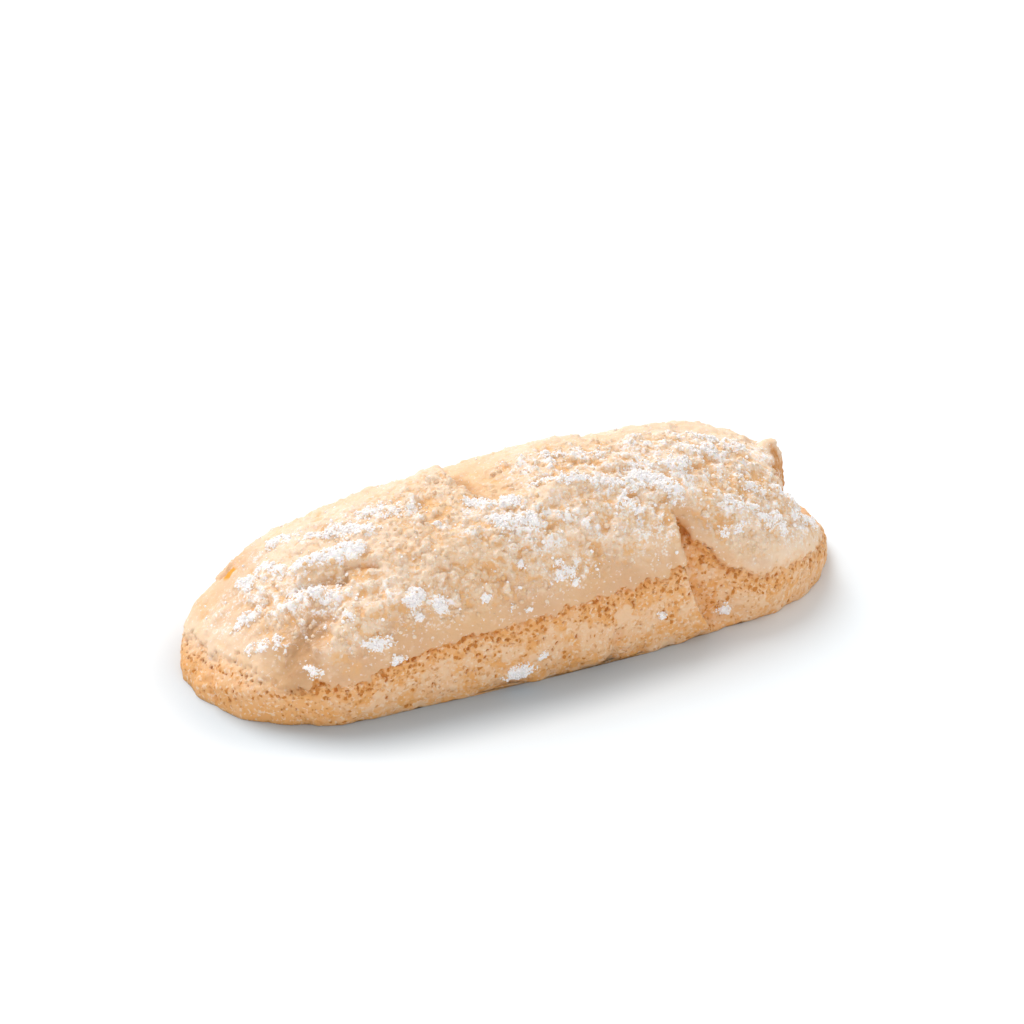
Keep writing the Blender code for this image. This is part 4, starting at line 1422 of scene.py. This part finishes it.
def crumb_material(colours, group):
    """Pale baked crumbs, golden in places, with a little sugar on them."""
    paint = Painter("baked_crumb", group)
    cloud = paint.noise(CRUMB_CLOUDS, 0.35, 0.65)
    shade = paint.mix(cloud, colours.crust_pale, colours.golden)
    sugar = paint.times(paint.noise(CRUMB_SUGAR, 0.45, 0.7), 0.25)
    paint.send(paint.mix(sugar, shade, colours.sugar), "Base Color")
    paint.send(paint.noise(FLECKS, 0.3, 0.7, *DRY), "Roughness")
    normal = paint.bump(paint.noise(CRUMB_GRAIN, 0.25, 0.75), CRUMB_BUMP)
    normal = paint.bump(paint.noise(CRUMB_FINE_GRAIN, 0.2, 0.8), CRUMB_FINE_BUMP, normal)
    paint.send(normal, "Normal")
    paint.soften(*CRUMB_GLOW)
    return paint.material


def sugar_material(colours, group):
    """White sugar with fine grain and a painted glow."""
    paint = Painter("sugar", group)
    shade = paint.mix(paint.noise(FLECKS, 0.45, 0.75), colours.sugar, colours.sugar_shade)
    paint.send(shade, "Base Color")
    paint.send(paint.noise(SUGAR_SHINE, 0.3, 0.7, *GLINT), "Roughness")
    paint.send(paint.bump(paint.noise(SUGAR_GRAIN, 0.2, 0.8), SUGAR_BUMP), "Normal")
    # Painted glow: the sugar gives off a little light of its own
    paint.send(shade, "Emission Color")
    paint.shader.inputs["Emission Strength"].default_value = SUGAR_PAINTED_GLOW
    return paint.material


def oval(paint, place, centre, reach):
    """0 in the middle of a rounded oval on the floor, 1 on its edge."""
    total = 0.0
    for axis, middle, half in zip("XY", centre, reach):
        share = paint.maths('DIVIDE', paint.maths('SUBTRACT', place[axis], middle), half)
        share = paint.maths('POWER', paint.maths('ABSOLUTE', share, 0.0), OVAL_POWER)
        total = paint.plus(share, total)
    return total


def floor_material(group):
    """White floor with a painted shadow round the biscuit, a cooler grey where warm light falls
    back on it.
    """
    paint = Painter("white_floor", group)
    place = paint.place()
    # Pale cool tint: painted against the warm light bounced from the biscuit
    pale = paint.span(oval(paint, place, BOUNCE_TINT_CENTRE, BOUNCE_TINT_REACH), 1.7, 0.5)
    # Cool grey close round the biscuit: a painted shadow
    shadow = paint.span(oval(paint, place, SHADOW_CENTRE, SHADOW_REACH), 0.92, 0.15)
    shade = paint.mix(pale, FLOOR_WHITE, FLOOR_BOUNCE_TINT)
    paint.send(paint.mix(shadow, shade, FLOOR_SHADOW), "Base Color")
    paint.send(paint.noise(FLOOR_PATCHES, 0.3, 0.7, *DULL), "Roughness")
    paint.shader.inputs["Specular IOR Level"].default_value = 0.0
    return paint.material


# --------------------------------------------------------------- operators

def settle(piece, material):
    """Give a piece its material and tie it to the frame."""
    piece.data.materials.clear()
    piece.data.materials.append(material)
    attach(piece, BODY)
    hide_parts(NODE)


def shared_group():
    """The noise group, made once."""
    return bpy.data.node_groups.get("sharp_noise") or speckle_group()


def shared_sugar(colours):
    """The sugar material, made once."""
    return bpy.data.materials.get("sugar") or sugar_material(colours, shared_group())


class LADYFINGER_OT_biscuit(bpy.types.Operator):
    """Model the biscuit with its crust, fold, hollow and torn end"""

    bl_idname = "ladyfinger.biscuit"
    bl_label = "Biscuit"

    def execute(self, context):
        scene = context.scene
        piece = make_biscuit(scene.ladyfinger_shape)
        settle(piece, crust_material(scene.ladyfinger_colours, shared_group()))
        return {'FINISHED'}


class LADYFINGER_OT_clumps(bpy.types.Operator):
    """Pile clumps of sugar on the crust"""

    bl_idname = "ladyfinger.clumps"
    bl_label = "Sugar clumps"

    def execute(self, context):
        scene = context.scene
        piece = make_clumps(bpy.data.objects["biscuit"], scene.ladyfinger_sugar)
        settle(piece, shared_sugar(scene.ladyfinger_colours))
        return {'FINISHED'}


class LADYFINGER_OT_grains(bpy.types.Operator):
    """Strew single grains of sugar on the crust"""

    bl_idname = "ladyfinger.grains"
    bl_label = "Sugar grains"

    def execute(self, context):
        scene = context.scene
        piece = make_grains(bpy.data.objects["biscuit"], scene.ladyfinger_sugar)
        settle(piece, shared_sugar(scene.ladyfinger_colours))
        return {'FINISHED'}


class LADYFINGER_OT_crumbs(bpy.types.Operator):
    """Stick baked crumbs on the crown"""

    bl_idname = "ladyfinger.crumbs"
    bl_label = "Crust crumbs"

    def execute(self, context):
        scene = context.scene
        piece = make_crumbs(bpy.data.objects["biscuit"], scene.ladyfinger_sugar)
        settle(piece, crumb_material(scene.ladyfinger_colours, shared_group()))
        return {'FINISHED'}


def add_sun(name, aim, strength, angle):
    """Distant light that shines along a direction."""
    bpy.ops.object.light_add(type='SUN', location=tuple(-c for c in aim))
    light = bpy.context.active_object
    light.name = name
    light.rotation_euler = Vector(aim).to_track_quat('-Z', 'Y').to_euler()
    light.data.energy = strength
    light.data.angle = angle


def add_panel_light(name, place, size, power):
    """Square light that faces the biscuit."""
    bpy.ops.object.light_add(type='AREA', location=place)
    light = bpy.context.active_object
    light.name = name
    light.rotation_euler = (-Vector(place)).to_track_quat('-Z', 'Y').to_euler()
    light.data.size = size
    light.data.energy = power


def add_camera(stage):
    """Camera at the stage's angle, aimed a little above the biscuit."""
    a, e = stage.azimuth, stage.elevation
    back = Vector((math.sin(a) * math.cos(e), -math.cos(a) * math.cos(e), math.sin(e)))
    right = Vector((math.cos(a), math.sin(a), 0.0))
    up = back.cross(right)
    place = back * stage.distance
    bpy.ops.object.camera_add(location=place)
    camera = bpy.context.active_object
    camera.name = "camera"
    aim = up * stage.raise_view - right * AIM_LEFT
    camera.rotation_euler = (aim - place).to_track_quat('-Z', 'Y').to_euler()
    camera.data.lens = stage.lens
    camera.data.clip_start = CLIP_START
    bpy.context.scene.camera = camera


class LADYFINGER_OT_stage(bpy.types.Operator):
    """Set up the white floor, the soft lights and the camera"""

    bl_idname = "ladyfinger.stage"
    bl_label = "Stage"

    def execute(self, context):
        scene = context.scene
        stage = scene.ladyfinger_stage
        deselect()
        bpy.ops.mesh.primitive_plane_add(size=FLOOR_SIDE)
        floor = context.active_object
        floor.name = "floor"
        floor.data.materials.append(floor_material(shared_group()))
        add_sun("key", KEY_AIM, stage.key_strength, stage.key_softness)
        add_panel_light("fill", FILL_PLACE, FILL_SIZE, stage.fill_power)
        world = bpy.data.worlds.new("white")
        scene.world = world
        world.use_nodes = True
        sky = world.node_tree.nodes["Background"].inputs
        sky["Color"].default_value = WHITE
        sky["Strength"].default_value = stage.sky
        scene.view_settings.view_transform = 'Standard'
        add_camera(stage)
        return {'FINISHED'}


class LADYFINGER_PT_panel(bpy.types.Panel):
    """Sidebar panel with the settings and the steps"""

    bl_idname = "LADYFINGER_PT_panel"
    bl_label = "Ladyfinger"
    bl_space_type = 'VIEW_3D'
    bl_region_type = 'UI'
    bl_category = "Ladyfinger"

    def draw(self, context):
        layout = self.layout
        for name in GROUPS:
            box = layout.box()
            settings = getattr(context.scene, name)
            for key in settings.__annotations__:
                box.prop(settings, key)
        for step in STEPS:
            layout.operator(step.bl_idname)


GROUPS = {
    "ladyfinger_shape": LadyfingerShape,
    "ladyfinger_sugar": LadyfingerSugar,
    "ladyfinger_colours": LadyfingerColours,
    "ladyfinger_stage": LadyfingerStage,
}
STEPS = (LADYFINGER_OT_biscuit, LADYFINGER_OT_crumbs, LADYFINGER_OT_clumps,
         LADYFINGER_OT_grains, LADYFINGER_OT_stage)


def register():
    """Add the settings, the steps and the panel to Blender."""
    for name, group in GROUPS.items():
        bpy.utils.register_class(group)
        setattr(bpy.types.Scene, name, bpy.props.PointerProperty(type=group))
    for step in STEPS:
        bpy.utils.register_class(step)
    bpy.utils.register_class(LADYFINGER_PT_panel)


def unregister():
    """Take them away again."""
    bpy.utils.unregister_class(LADYFINGER_PT_panel)
    for step in reversed(STEPS):
        bpy.utils.unregister_class(step)
    for name, group in GROUPS.items():
        delattr(bpy.types.Scene, name)
        bpy.utils.unregister_class(group)


def main():
    """Run every step in order."""
    register()
    bpy.ops.ladyfinger.biscuit()
    bpy.ops.ladyfinger.crumbs()
    bpy.ops.ladyfinger.clumps()
    bpy.ops.ladyfinger.grains()
    bpy.ops.ladyfinger.stage()


if __name__ == "__main__":
    main()
